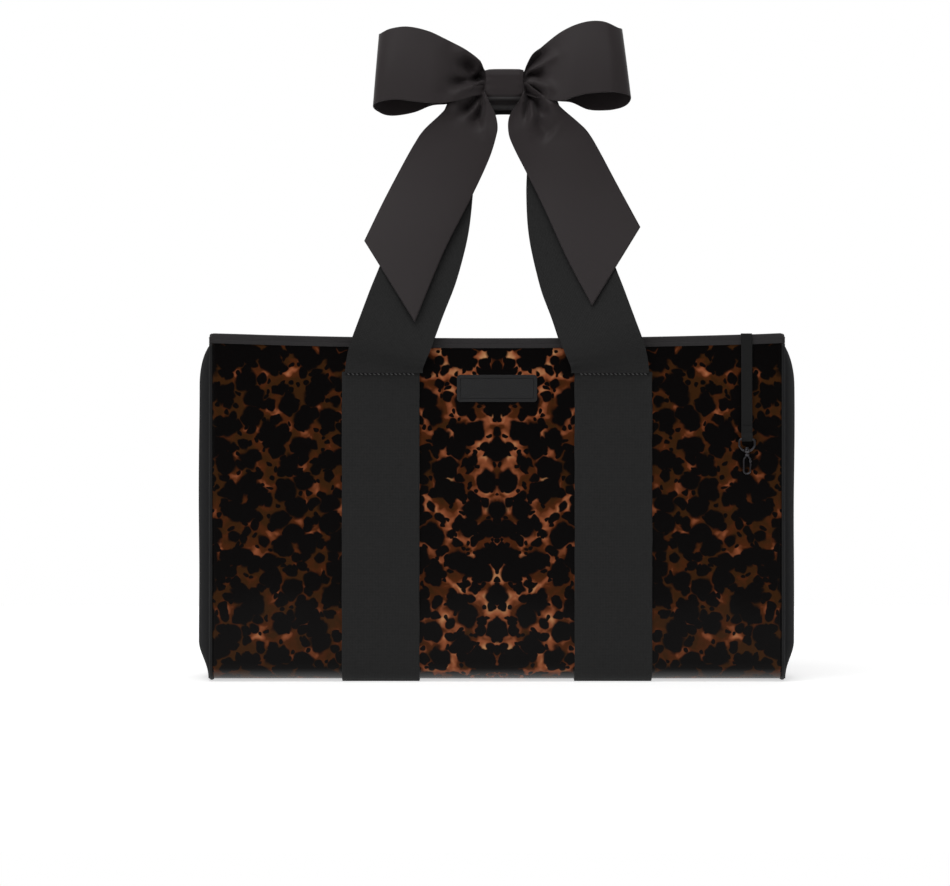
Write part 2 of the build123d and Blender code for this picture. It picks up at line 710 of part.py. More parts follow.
def claw_loop(width, height):
    """Front view of an upright slot, centred on the claw."""
    return Pos(LEASH_X, CLAW_TOP_Z - CLAW_HEIGHT / 2) * Rot(0, 0, 90) * SlotOverall(height, width)


GATE_PIVOT_X = LEASH_X + CLAW_WIDTH / 2 - CLAW_BAR / 2
GATE_PIVOT_Z = CLAW_TOP_Z - CLAW_WIDTH / 2 - EYE_BELOW_SHOULDER
GATE_TIP_Z = CLAW_TOP_Z - CLAW_HEIGHT + CLAW_WIDTH / 2 + TIP_ABOVE_BOW
EYE_RADIUS = CLAW_BAR / 2 + EYE_WALL
GATE_EYE_RADIUS = CLAW_BAR / 2 + GATE_EYE_WALL


def swivel_hook():
    """Claw hook with its post, collar, and two ears for the gate's pin."""
    half = CLAW_THICK / 2
    ring = claw_loop(CLAW_WIDTH, CLAW_HEIGHT)
    hole = claw_loop(CLAW_WIDTH - 2 * CLAW_BAR, CLAW_HEIGHT - 2 * CLAW_BAR)
    pivot = Pos(GATE_PIVOT_X, GATE_PIVOT_Z)
    mouth_top = GATE_PIVOT_Z - EYE_RADIUS - MOUTH_TOP_ROOM
    mouth = Polyline(
        (LEASH_X + MOUTH_IN, mouth_top),
        (LEASH_X + MOUTH_OUT, mouth_top),
        (LEASH_X + MOUTH_OUT, GATE_TIP_Z + MOUTH_TIP_OUT),
        (LEASH_X + MOUTH_IN, GATE_TIP_Z + MOUTH_TIP_IN),
        close=True,
    )
    front = ring - hole + pivot * Circle(EYE_RADIUS) - make_face(mouth)
    claw = frontways(front, CLIP_PLANE_Y - half, CLIP_PLANE_Y + half)
    slot_half = GATE_THICK / 2 + GATE_GAP
    slot_radius = EYE_RADIUS + EYE_SLOT_ROOM
    below_eye = Pos(GATE_PIVOT_X, (GATE_PIVOT_Z + mouth_top) / 2) * Rectangle(
        2 * slot_radius, GATE_PIVOT_Z - mouth_top + 2 * MOUTH_TOP_ROOM
    )
    slot = frontways(
        pivot * Circle(slot_radius) + below_eye,
        CLIP_PLANE_Y - slot_half,
        CLIP_PLANE_Y + slot_half,
    )
    pin_hole = frontways(
        pivot * Circle(GATE_PIN_RADIUS), CLIP_PLANE_Y - half - 1, CLIP_PLANE_Y + half + 1
    )
    at = Pos(LEASH_X, CLIP_PLANE_Y)
    collar_top = BOSS_LOW_Z - MOVING_GAP
    collar = upwards(at * Circle(BOSS_RADIUS), CLAW_TOP_Z - COLLAR_SINK, collar_top)
    post = upwards(at * Circle(POST_RADIUS), collar_top, BOSS_TOP_Z + MOVING_GAP)
    head_low = BOSS_TOP_Z + MOVING_GAP
    head = upwards(at * Circle(POST_HEAD_RADIUS), head_low, head_low + POST_HEAD_HEIGHT)
    return claw - slot - pin_hole + collar + post + head


def hook_gate():
    """Sprung gate: an eye on the pin, a bar down to the claw's tip, and a thumb nub."""
    half = GATE_THICK / 2
    bar_low = GATE_TIP_Z + GATE_TIP_ROOM
    pivot = Pos(GATE_PIVOT_X, GATE_PIVOT_Z)
    eye = pivot * Circle(GATE_EYE_RADIUS)
    bar_middle = (GATE_PIVOT_Z + bar_low) / 2
    bar = Pos(GATE_PIVOT_X, bar_middle) * Rectangle(GATE_BAR, GATE_PIVOT_Z - bar_low)
    nub_x = GATE_PIVOT_X + CLAW_BAR / 2 - GATE_NUB_SINK
    nub = Pos(nub_x, GATE_PIVOT_Z - EYE_RADIUS - GATE_NUB_DOWN) * Circle(GATE_NUB)
    gate = frontways(eye + bar + nub, CLIP_PLANE_Y - half, CLIP_PLANE_Y + half)
    bore = frontways(
        pivot * Circle(GATE_PIN_RADIUS + GATE_PIN_ROOM),
        CLIP_PLANE_Y - GATE_THICK, CLIP_PLANE_Y + GATE_THICK,
    )
    spring_room = frontways(
        pivot * Circle(EYE_RADIUS + EYE_SLOT_ROOM),
        CLIP_PLANE_Y - half + GATE_TONGUE, CLIP_PLANE_Y + half + 1,
    )
    return gate - bore - spring_room


def gate_pin():
    """Pin through the claw's ears and the gate's eye."""
    half = CLAW_THICK / 2
    pin = Pos(GATE_PIVOT_X, GATE_PIVOT_Z) * Circle(GATE_PIN_RADIUS)
    return frontways(pin, CLIP_PLANE_Y - half, CLIP_PLANE_Y + half)


def gate_spring():
    """Small spring on the pin beside the gate's eye."""
    at = Pos(GATE_PIVOT_X, GATE_PIVOT_Z)
    ring = at * Circle(GATE_EYE_RADIUS - SPRING_WALL) - at * Circle(GATE_PIN_RADIUS + SPRING_ROOM)
    low = CLIP_PLANE_Y - GATE_THICK / 2 + GATE_TONGUE + SPRING_SIDE_GAP
    return frontways(ring, low, low + SPRING_THICK)


# Inside the bag

def base_board():
    """Loose stiff board on the lining's floor."""
    floor = LINING_FLOOR_Z + LINING_THICK
    half_x = HALF_W - BASE_BOARD_MARGIN
    half_y = HALF_D - CORNER_RADIUS - BASE_BOARD_MARGIN / 2
    board = block(-half_x, half_x, -half_y, half_y, floor, floor + BASE_BOARD_THICK)
    return fillet(board.edges().filter_by(Axis.Z), 8)


def slip_pocket():
    """Open-topped pocket on the back lining, sewn along its sides and bottom."""
    in_y = LINING_IN_Y - POCKET_STANDOFF - POCKET_THICK
    top = POCKET_BOTTOM_Z + POCKET_HEIGHT
    half = POCKET_WIDTH / 2
    outer = block(-half, half, in_y, LINING_IN_Y, POCKET_BOTTOM_Z, top)
    room = block(
        -half + POCKET_THICK, half - POCKET_THICK, in_y + POCKET_THICK, LINING_IN_Y + 1,
        POCKET_BOTTOM_Z + POCKET_THICK, top + 1,
    )
    return outer - room


def pocket_hem():
    """Tape along the pocket's mouth."""
    face = LINING_IN_Y - POCKET_STANDOFF - POCKET_THICK
    top = POCKET_BOTTOM_Z + POCKET_HEIGHT
    half = POCKET_WIDTH / 2
    return block(-half, half, face - BINDING_THICK, face, top - POCKET_HEM, top)


def snap_disc():
    """Disc of a magnetic snap, lying on the front lining."""
    plate = Pos(0, RIM_HEIGHT - SNAP_BELOW_RIM) * Circle(SNAP_RADIUS)
    return frontways(plate, -LINING_IN_Y, -LINING_IN_Y + SNAP_THICK)


def snap_stud():
    """Front half of the snap, with its stud."""
    stud = Pos(0, RIM_HEIGHT - SNAP_BELOW_RIM) * Circle(SNAP_STUD_RADIUS)
    face = -LINING_IN_Y + SNAP_THICK
    return snap_disc() + frontways(stud, face, face + SNAP_STUD_HEIGHT)


def snap_socket():
    """Back half of the snap, with the socket for the stud."""
    bore = Pos(0, RIM_HEIGHT - SNAP_BELOW_RIM) * Circle(SNAP_BORE_RADIUS)
    face = -LINING_IN_Y + SNAP_THICK
    return front_to_back(snap_disc() - frontways(bore, face - SNAP_STUD_HEIGHT - 0.2, face + 1))


def build():
    """Every piece by its node's name."""
    front_vinyl = vinyl_panel()
    right_gusset = gusset()
    right_piping = seam_piping()
    front_rim = front_binding()
    right_rim = side_binding()
    right_strap = body_strap()
    front_foam = wall_foam()
    return {
        "front_panel": front_vinyl,
        "back_panel": front_to_back(front_vinyl),
        "base_panel": base_panel(),
        "left_gusset": left_to_right(right_gusset),
        "right_gusset": right_gusset,
        "left_seam_piping": left_to_right(right_piping),
        "right_seam_piping": right_piping,
        "front_rim_binding": front_rim,
        "back_rim_binding": front_to_back(front_rim),
        "left_rim_binding": left_to_right(right_rim),
        "right_rim_binding": right_rim,
        "left_body_strap": left_to_right(right_strap),
        "right_body_strap": right_strap,
        "strap_stitches": stitch_rows(),
        "front_foam": front_foam,
        "back_foam": front_to_back(front_foam),
        "base_foam": base_foam(),
        "lining": lining(),
        "base_board": base_board(),
        "slip_pocket": slip_pocket(),
        "pocket_hem": pocket_hem(),
        "snap_stud": snap_stud(),
        "snap_socket": snap_socket(),
        "label_patch": label_patch(),
        "front_handle": handle(FRONT_GRIP_Y, -1),
        "back_handle": handle(BACK_GRIP_Y, 1),
        "bow_knot": knot(),
        "bow_left_loop": loop(LEFT_LOOP_TOP, LEFT_LOOP_BOTTOM, -1),
        "bow_right_loop": loop(RIGHT_LOOP_TOP, RIGHT_LOOP_BOTTOM, 1),
        "bow_left_tail": tail(LEFT_TAIL, LEFT_CUT),
        "bow_right_tail": tail(RIGHT_TAIL, RIGHT_CUT),
        "leash_anchor": leash_anchor(),
        "leash_strap": leash_strap(),
        "clip_bail": clip_bail(),
        "swivel_hook": swivel_hook(),
        "hook_gate": hook_gate(),
        "gate_pin": gate_pin(),
        "gate_spring": gate_spring(),
    }


os.makedirs("parts", exist_ok=True)
for node, shape in build().items():
    export_step(shape, f"parts/{node}.step")
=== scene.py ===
"""Dressed model of a wide game tote bag with webbing handles, a ribbon bow and a clip leash."""

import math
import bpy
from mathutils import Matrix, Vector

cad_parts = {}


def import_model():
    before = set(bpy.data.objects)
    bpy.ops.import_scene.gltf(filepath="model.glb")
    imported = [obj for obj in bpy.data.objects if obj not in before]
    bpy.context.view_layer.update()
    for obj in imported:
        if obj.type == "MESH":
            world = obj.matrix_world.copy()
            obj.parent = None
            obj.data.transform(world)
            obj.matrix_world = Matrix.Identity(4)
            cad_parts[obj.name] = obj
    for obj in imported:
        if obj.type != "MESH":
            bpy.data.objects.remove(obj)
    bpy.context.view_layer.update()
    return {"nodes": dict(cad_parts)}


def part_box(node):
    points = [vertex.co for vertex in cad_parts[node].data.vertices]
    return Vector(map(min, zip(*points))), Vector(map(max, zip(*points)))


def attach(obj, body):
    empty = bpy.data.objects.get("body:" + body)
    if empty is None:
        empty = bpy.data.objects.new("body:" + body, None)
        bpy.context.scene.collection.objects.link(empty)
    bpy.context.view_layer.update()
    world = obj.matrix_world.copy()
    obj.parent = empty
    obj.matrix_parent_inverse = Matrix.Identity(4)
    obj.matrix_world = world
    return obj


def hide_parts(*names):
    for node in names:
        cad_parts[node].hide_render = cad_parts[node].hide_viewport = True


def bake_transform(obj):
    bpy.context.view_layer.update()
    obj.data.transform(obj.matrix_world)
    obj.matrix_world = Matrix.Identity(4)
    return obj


bl_info = {
    "name": "Game tote with bow",
    "version": (1, 0, 0),
    "blender": (4, 5, 0),
    "location": "3D View > Sidebar > Tote",
    "description": "Vinyl, webbing, ribbon and metal pieces of a game tote, made over its solids",
    "category": "Object",
}

from bisect import bisect_right

import bmesh
import bpy
from bpy.props import FloatProperty, PointerProperty, StringProperty
from mathutils import Matrix, Vector, noise

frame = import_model()

MM = 0.001

# Places and sizes read from the solids
PANEL_LOW, PANEL_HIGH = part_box("front_panel")
BASE_LOW, BASE_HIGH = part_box("base_panel")
GUSSET_LOW, GUSSET_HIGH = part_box("right_gusset")
TAPE_LOW, TAPE_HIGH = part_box("front_rim_binding")
SIDE_TAPE_LOW, SIDE_TAPE_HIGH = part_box("right_rim_binding")
PIPING_LOW, PIPING_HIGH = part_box("right_seam_piping")
STRAP_LOW, STRAP_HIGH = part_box("right_body_strap")
LINING_LOW, LINING_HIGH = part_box("lining")
POCKET_LOW, POCKET_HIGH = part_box("slip_pocket")
HEM_LOW, HEM_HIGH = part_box("pocket_hem")
PATCH_LOW, PATCH_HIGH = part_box("label_patch")
KNOT_LOW, KNOT_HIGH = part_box("bow_knot")
ANCHOR_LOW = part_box("leash_anchor")[0]
LEASH_LOW, LEASH_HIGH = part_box("leash_strap")
BAIL_LOW, BAIL_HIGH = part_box("clip_bail")
HOOK_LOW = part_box("swivel_hook")[0]
GATE_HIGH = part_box("hook_gate")[1]
PIN_LOW, PIN_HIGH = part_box("gate_pin")
STITCH_Z = STRAP_HIGH.z
STRAP_WIDTH = STRAP_HIGH.x - STRAP_LOW.x
STRAP_MIDDLE = (STRAP_LOW.x + STRAP_HIGH.x) / 2
HALF_WIDTH = PANEL_HIGH.x
FRONT_FACE = PANEL_LOW.y

# Sizes that the sewing pattern has and the solids' boxes don't show
CORNER_RADIUS = 14 * MM
VINYL_THICKNESS = 1.1 * MM
TAPE_THICKNESS = 0.8 * MM
LINING_THICKNESS = 0.5 * MM
LONG_RIM_SAG = 5 * MM
SHORT_RIM_SAG = 1.4 * MM
SHOULDER_DROP = 40 * MM


class ToteSizes(bpy.types.PropertyGroup):
    """Sizes that change how full or fine the pieces look."""

    panel_wave: FloatProperty(
        name="Panel wave", description="How far the vinyl swells between its seams",
        default=1.1 * MM, unit="LENGTH",
    )
    gusset_fullness: FloatProperty(
        name="Gusset fullness", description="How far the side walls swell at mid height",
        default=16.5 * MM, unit="LENGTH",
    )
    webbing_thickness: FloatProperty(
        name="Webbing thickness", description="Thickness of the straps and handles",
        default=2.3 * MM, unit="LENGTH",
    )
    ribbon_thickness: FloatProperty(
        name="Ribbon thickness", description="Thickness of the bow's doubled ribbon",
        default=0.8 * MM, unit="LENGTH",
    )
    fold_depth: FloatProperty(
        name="Fold depth", description="Depth of the bow's folds, 1 for those listed with it",
        default=1.85,
    )
    stitch_length: FloatProperty(
        name="Stitch length", description="Length of one stitch on the strap tops",
        default=3.0 * MM, unit="LENGTH",
    )


class ToteColours(bpy.types.PropertyGroup):
    """Colours of the finishes, as sRGB hex values."""

    webbing: StringProperty(
        name="Webbing", description="Dyed cotton webbing of straps and handles", default="#212121"
    )
    ribbon: StringProperty(
        name="Ribbon", description="Satin ribbon of the bow", default="#302A2B"
    )
    tape: StringProperty(
        name="Rim tape", description="Grosgrain tape over the rim", default="#2D2A2B"
    )
    gusset: StringProperty(
        name="Gusset", description="Coated cloth of the side walls", default="#2B2B2C"
    )
    leash: StringProperty(
        name="Leash tape", description="Polyester tape of the leash", default="#141414"
    )
    lining: StringProperty(
        name="Lining", description="Nylon cloth inside the bag", default="#222224"
    )
    thread: StringProperty(
        name="Thread", description="Sewing thread of the strap tops", default="#666666"
    )
    patch: StringProperty(
        name="Patch", description="Imitation leather of the patch", default="#242425"
    )
    clip: StringProperty(
        name="Clip", description="Black nickel plate of the clip", default="#48474A"
    )
    shell_dark: StringProperty(
        name="Shell blotches", description="Dark blotches of the printed vinyl", default="#040202"
    )
    shell_brown: StringProperty(
        name="Shell brown", description="Deep brown of the printed vinyl", default="#40240B"
    )
    shell_rust: StringProperty(
        name="Shell rust", description="Reddish brown of the printed vinyl", default="#572A10"
    )
    shell_amber: StringProperty(
        name="Shell amber", description="Amber of the printed vinyl", default="#A85E3B"
    )
    shell_light: StringProperty(
        name="Shell light", description="Lightest spots of the printed vinyl", default="#DDA06C"
    )


def group(name):
    """The scene's settings of that name."""
    return getattr(bpy.context.scene, name)


# Curves and folds

def shares_along(points):
    """How far along the straight runs between the points each of them is, from 0 to 1."""
    marks = [0.0]
    for a, b in zip(points, points[1:]):
        marks.append(marks[-1] + (b - a).length)
    return [m / marks[-1] for m in marks]


def through(points, marks=None):
    """A smooth line through the points. It is called with 0 to 1, by distance along the
    straight runs, or with a place among the marks where those are given."""
    points = [Vector(p) for p in points]
    if marks is None:
        marks = shares_along(points)
    last = len(points) - 1

    def slope(i):
        low, high = max(i - 1, 0), min(i + 1, last)
        return (points[high] - points[low]) / (marks[high] - marks[low])

    def place(t):
        t = min(max(t, marks[0]), marks[-1])
        i = min(max(bisect_right(marks, t) - 1, 0), last - 1)
        span = marks[i + 1] - marks[i]
        s = (t - marks[i]) / span
        return (
            points[i] * (2 * s**3 - 3 * s**2 + 1)
            + slope(i) * span * (s**3 - 2 * s**2 + s)
            + points[i + 1] * (3 * s**2 - 2 * s**3)
            + slope(i + 1) * span * (s**3 - s**2)
        )

    return place


def level_along(points):
    """A smooth height as a function of x, from points (x, z) in order of x."""
    line = through([(x, z, 0) for x, z in points], [x for x, z in points])
    return lambda x: line(x).y


def ease(low, high, value):
    """0 below low, 1 above high and a smooth rise between them."""
    s = min(max((value - low) / (high - low), 0.0), 1.0)
    return s * s * (3 - 2 * s)


def mix(a, b, share):
    """The value that share of the way from a to b."""
    return a + (b - a) * share


def beside(x, z, line):
    """Distance from (x, z) to a run of points, and how far along the run it is nearest."""
    best, where, done = 1e9, 0.0, 0.0
    for (ax, az), (bx, bz) in zip(line, line[1:]):
        run_x, run_z = bx - ax, bz - az
        length = math.hypot(run_x, run_z)
        s = min(max(((x - ax) * run_x + (z - az) * run_z) / length**2, 0.0), 1.0)
        far = math.hypot(x - ax - run_x * s, z - az - run_z * s)
        if far < best:
            best, where = far, done + s * length
        done += length
    return best, where / done


def folded(x, z, folds):
    """Depth that the folds give at (x, z). Each fold is a line, its depth and its width."""
    total = 0.0
    for line, depth, width in folds:
        far, along = beside(x, z, line)
        fade = 1 - ease(0.55, 1.0, along) * 0.9
        total += depth * fade * math.exp(-((far / (width * (1 + 0.8 * along))) ** 2))
    return total


# Meshes

def finished(name, bm, material, body=None, nodes=()):
    """Makes the mesh an object, gives it its finish and puts it on its body."""
    mesh = bpy.data.meshes.new(name)
    bm.to_mesh(mesh)
    bm.free()
    for polygon in mesh.polygons:
        polygon.use_smooth = True
    piece = bpy.data.objects.new(name, mesh)
    bpy.context.scene.collection.objects.link(piece)
    mesh.materials.append(bpy.data.materials[material])
    if nodes:
        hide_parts(*nodes)
    if body:
        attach(piece, body)
    return piece


def cloth_grid(columns, rows, size, place, closed=False, lay=None):
    """A grid whose points are put by place(u, v), with a UV map in metres. u and v run from
    0 to 1. Where closed is true, its two ends along v are joined. lay(u, v) gives the place on
    the flat cloth where the columns aren't evenly spaced."""
    bm = bmesh.new()
    layer = bm.loops.layers.uv.new("UVMap")
    bmesh.ops.create_grid(bm, x_segments=columns, y_segments=rows, size=0.5, calc_uvs=True)
    for face in bm.faces:
        for loop in face.loops:
            u, v = loop.vert.co.x + 0.5, loop.vert.co.y + 0.5
            loop[layer].uv = lay(u, v) if lay else (u * size[0], v * size[1])
    for vert in bm.verts:
        vert.co = place(vert.co.x + 0.5, vert.co.y + 0.5)
    if closed:
        bmesh.ops.remove_doubles(bm, verts=bm.verts, dist=0.01 * MM)
    return bm


def thicken(piece, thickness, offset=0.0, rounded=0.0, even=True):
    """Gives a strip its thickness, and rounds its cut edges where rounded isn't 0. A strip with
    tight folds is thickened along its normals alone, with even set to false."""
    solid = piece.modifiers.new("Thickness", "SOLIDIFY")
    solid.thickness = thickness
    solid.offset = offset
    solid.use_even_offset = even
    if rounded:
        soften(piece, rounded, 3, 75)
    return piece


def soften(piece, width, segments=2, least=50):
    """Rounds the edges of a piece that are sharper than least, in degrees."""
    edge = piece.modifiers.new("Soft edges", "BEVEL")
    edge.width = width
    edge.segments = segments
    edge.limit_method = "ANGLE"
    edge.angle_limit = math.radians(least)
    edge.harden_normals = False
    return piece


def turned(profile, centre, axis="Z", steps=32):
    """A round shape: a profile of (radius, height) in millimetres, spun about an axis
    through centre."""
    bm = bmesh.new()
    verts = [bm.verts.new((r * MM, 0, h * MM)) for r, h in profile]
    edges = [bm.edges.new(pair) for pair in zip(verts, verts[1:])]
    bmesh.ops.spin(
        bm, geom=verts + edges, cent=(0, 0, 0), axis=(0, 0, 1), angle=math.tau, steps=steps,
        use_merge=True,
    )
    bmesh.ops.remove_doubles(bm, verts=bm.verts, dist=0.005 * MM)
    bmesh.ops.recalc_face_normals(bm, faces=bm.faces)
    if axis == "Y":
        bmesh.ops.rotate(bm, verts=bm.verts, matrix=Matrix.Rotation(math.radians(90), 3, "X"))
    bmesh.ops.translate(bm, verts=bm.verts, vec=centre)
    return bm


def block(low, high):
    """A box between two corners."""
    bm = bmesh.new()
    bmesh.ops.create_cube(bm, size=1)
    bmesh.ops.scale(bm, verts=bm.verts, vec=high - low)
    bmesh.ops.translate(bm, verts=bm.verts, vec=(low + high) / 2)
    return bm


def join(bm, other):
    """Adds another mesh's faces to bm."""
    mesh = bpy.data.meshes.new("joined")
    other.to_mesh(mesh)
    other.free()
    bm.from_mesh(mesh)
    bpy.data.meshes.remove(mesh)


def wire(bm, points, radius, flat=1.0, sides=12):
    """Adds a rod of round section with rounded ends along points in an upright plane. flat
    is its depth across that plane as a share of its width."""
    points = [Vector(p) for p in points]
    rings = []
    for before, point, after in zip(points[:1] + points, points, points[1:] + points[-1:]):
        along = (after - before).normalized()
        across = along.cross(Vector((0, 1, 0))).normalized()
        ring = bmesh.ops.create_circle(bm, segments=sides, radius=radius)["verts"]
        turn = Matrix((across, Vector((0, flat, 0)), along)).transposed()
        bmesh.ops.transform(bm, matrix=Matrix.Translation(point) @ turn.to_4x4(), verts=ring)
        rings.append(ring)
    for pair in zip(rings, rings[1:]):
        edges = {
            edge for ring in pair for vert in ring for edge in vert.link_edges
            if all(end in ring for end in edge.verts)
        }
        bmesh.ops.bridge_loops(bm, edges=list(edges))
    for ring, tip, before_tip in (
        (rings[0], points[0], points[1]), (rings[-1], points[-1], points[-2]),
    ):
        cap = bm.faces.new(ring)
        bmesh.ops.inset_region(bm, faces=[cap], thickness=radius * 0.35)
        outward = (tip - before_tip).normalized()
        bmesh.ops.translate(bm, verts=cap.verts, vec=outward * radius * 0.3)
    bmesh.ops.recalc_face_normals(bm, faces=bm.faces)
    return bm


def under_bag(out, top, low, radius):
    """Points (y, z) of a line down the bag's front, under it and up its back, from height top,
    with round corners."""
    half_way = (top + low) / 2
    route = [(-out, top), (-out, half_way)]
    for centre_y, start in ((-out + radius, 180), (out - radius, 270)):
        for i in range(9):
            a = math.radians(start + 90 * i / 8)
            route.append((centre_y + radius * math.cos(a), low + radius + radius * math.sin(a)))
    return through([(0, y, z) for y, z in route + [(out, half_way), (out, top)]])


# Finishes

def linear(colour):
    """An sRGB hex colour as linear RGBA."""
    values = [int(colour[i:i + 2], 16) / 255 for i in (1, 3, 5)]
    return [c / 12.92 if c <= 0.04045 else ((c + 0.055) / 1.055) ** 2.4 for c in values] + [1]


def add(tree, kind, settings=None, **links):
    """Adds a node. settings fill its properties and its sockets, by name or number, and
    links join sockets to other nodes' outputs."""
    node = tree.nodes.new(kind)
    for key, value in (settings or {}).items():
        if isinstance(key, int) or key in node.inputs:
            node.inputs[key].default_value = value
        else:
            setattr(node, key, value)
    for key, source in links.items():
        name = key.replace("_", " ")
        socket = node.inputs[int(name[3:])] if name.startswith("in ") else node.inputs[name]
        tree.links.new(source, socket)
    return node


def maths(tree, operation, *values):
    """The result of a Math node. Each value is a number or another node's output."""
    node = add(tree, "ShaderNodeMath", {"operation": operation})
    for socket, value in zip(node.inputs, values):
        if isinstance(value, float):
            socket.default_value = value
        else:
            tree.links.new(value, socket)
    return node.outputs[0]


def ranged(tree, value, start, end, low=0.0, high=1.0, smooth=True):
    """A number that goes from low, where the value is at start, to high, where it is at end."""
    settings = {
        "interpolation_type": "SMOOTHSTEP" if smooth else "LINEAR",
        "From Min": start, "From Max": end, "To Min": low, "To Max": high,
    }
    return add(tree, "ShaderNodeMapRange", settings, Value=value).outputs[0]


def finish(name, colour, roughness, **sockets):
    """Makes a material with a Principled surface. Returns its tree and surface."""
    material = bpy.data.materials.new(name)
    material.use_nodes = True
    tree = material.node_tree
    surface = tree.nodes["Principled BSDF"]
    surface.inputs["Base Color"].default_value = linear(colour)
    surface.inputs["Roughness"].default_value = roughness
    for key, value in sockets.items():
        surface.inputs[key.replace("_", " ")].default_value = value
    material.diffuse_color = linear(colour)
    return tree, surface


def relief(tree, surface, height, depth):
    """Gives the surface a bump of that depth in metres."""
    bump = add(tree, "ShaderNodeBump", {"Strength": 1.0, "Distance": depth}, Height=height)
    tree.links.new(bump.outputs["Normal"], surface.inputs["Normal"])


def woven(tree, surface, colour, spacing, ribs, shade, depth):
    """Yarns along and across the piece's UV map, spaced in metres. ribs is how strongly the
    yarns across show beside those along, and shade how dark the gaps between them are."""
    uv = add(tree, "ShaderNodeUVMap", {"uv_map": "UVMap"})
    # A wave texture shows 20 / (2 pi) bands for each unit at scale 1
    across, along = (
        add(
            tree, "ShaderNodeTexWave",
            {"wave_type": "BANDS", "bands_direction": way, "wave_profile": "SIN",
             "Scale": math.pi / (10 * spacing), "Distortion": 0.6, "Detail": 1.0},
            Vector=uv.outputs["UV"],
        )
        for way in "YX"
    )
    yarn = add(
        tree, "ShaderNodeMix", {"data_type": "FLOAT", "Factor": ribs}, in_2=along.outputs["Fac"],
        in_3=across.outputs["Fac"],
    )
    fuzz = add(
        tree, "ShaderNodeTexNoise", {"Scale": 0.4 / spacing, "Detail": 3.0, "Roughness": 0.6},
        Vector=uv.outputs["UV"],
    )
    height = maths(tree, "MULTIPLY", yarn.outputs[0], fuzz.outputs["Fac"])
    ramp = add(tree, "ShaderNodeValToRGB", None, Fac=height)
    dark = [c * shade for c in linear(colour)[:3]] + [1]
    ramp.color_ramp.elements[0].color = dark
    ramp.color_ramp.elements[0].position = 0.05
    ramp.color_ramp.elements[1].color = linear(colour)
    ramp.color_ramp.elements[1].position = 0.42
    tree.links.new(ramp.outputs["Color"], surface.inputs["Base Color"])
    relief(tree, surface, height, depth)


def grained(tree, surface, kind, settings, depth, on_cloth=False):
    """A fine bump of noise or cells. It follows the cloth's UV map where on_cloth is true, and
    otherwise the piece's own place."""
    if on_cloth:
        where = add(tree, "ShaderNodeUVMap", {"uv_map": "UVMap"}).outputs["UV"]
    else:
        where = add(tree, "ShaderNodeTexCoord").outputs["Object"]
    grain = add(tree, kind, settings, Vector=where)
    relief(tree, surface, grain.outputs[0], depth)


def blotches(tree, where, spacing, radius):
    """Distance to the nearest of many scattered round blotches, 1 at their edges. spacing and
    radius are in metres."""
    spots = add(
        tree, "ShaderNodeTexVoronoi",
        {"voronoi_dimensions": "2D", "feature": "F1", "Scale": 1 / spacing, "Randomness": 1.0},
        Vector=where,
    )
    return maths(tree, "MULTIPLY", spots.outputs["Distance"], spacing / radius)


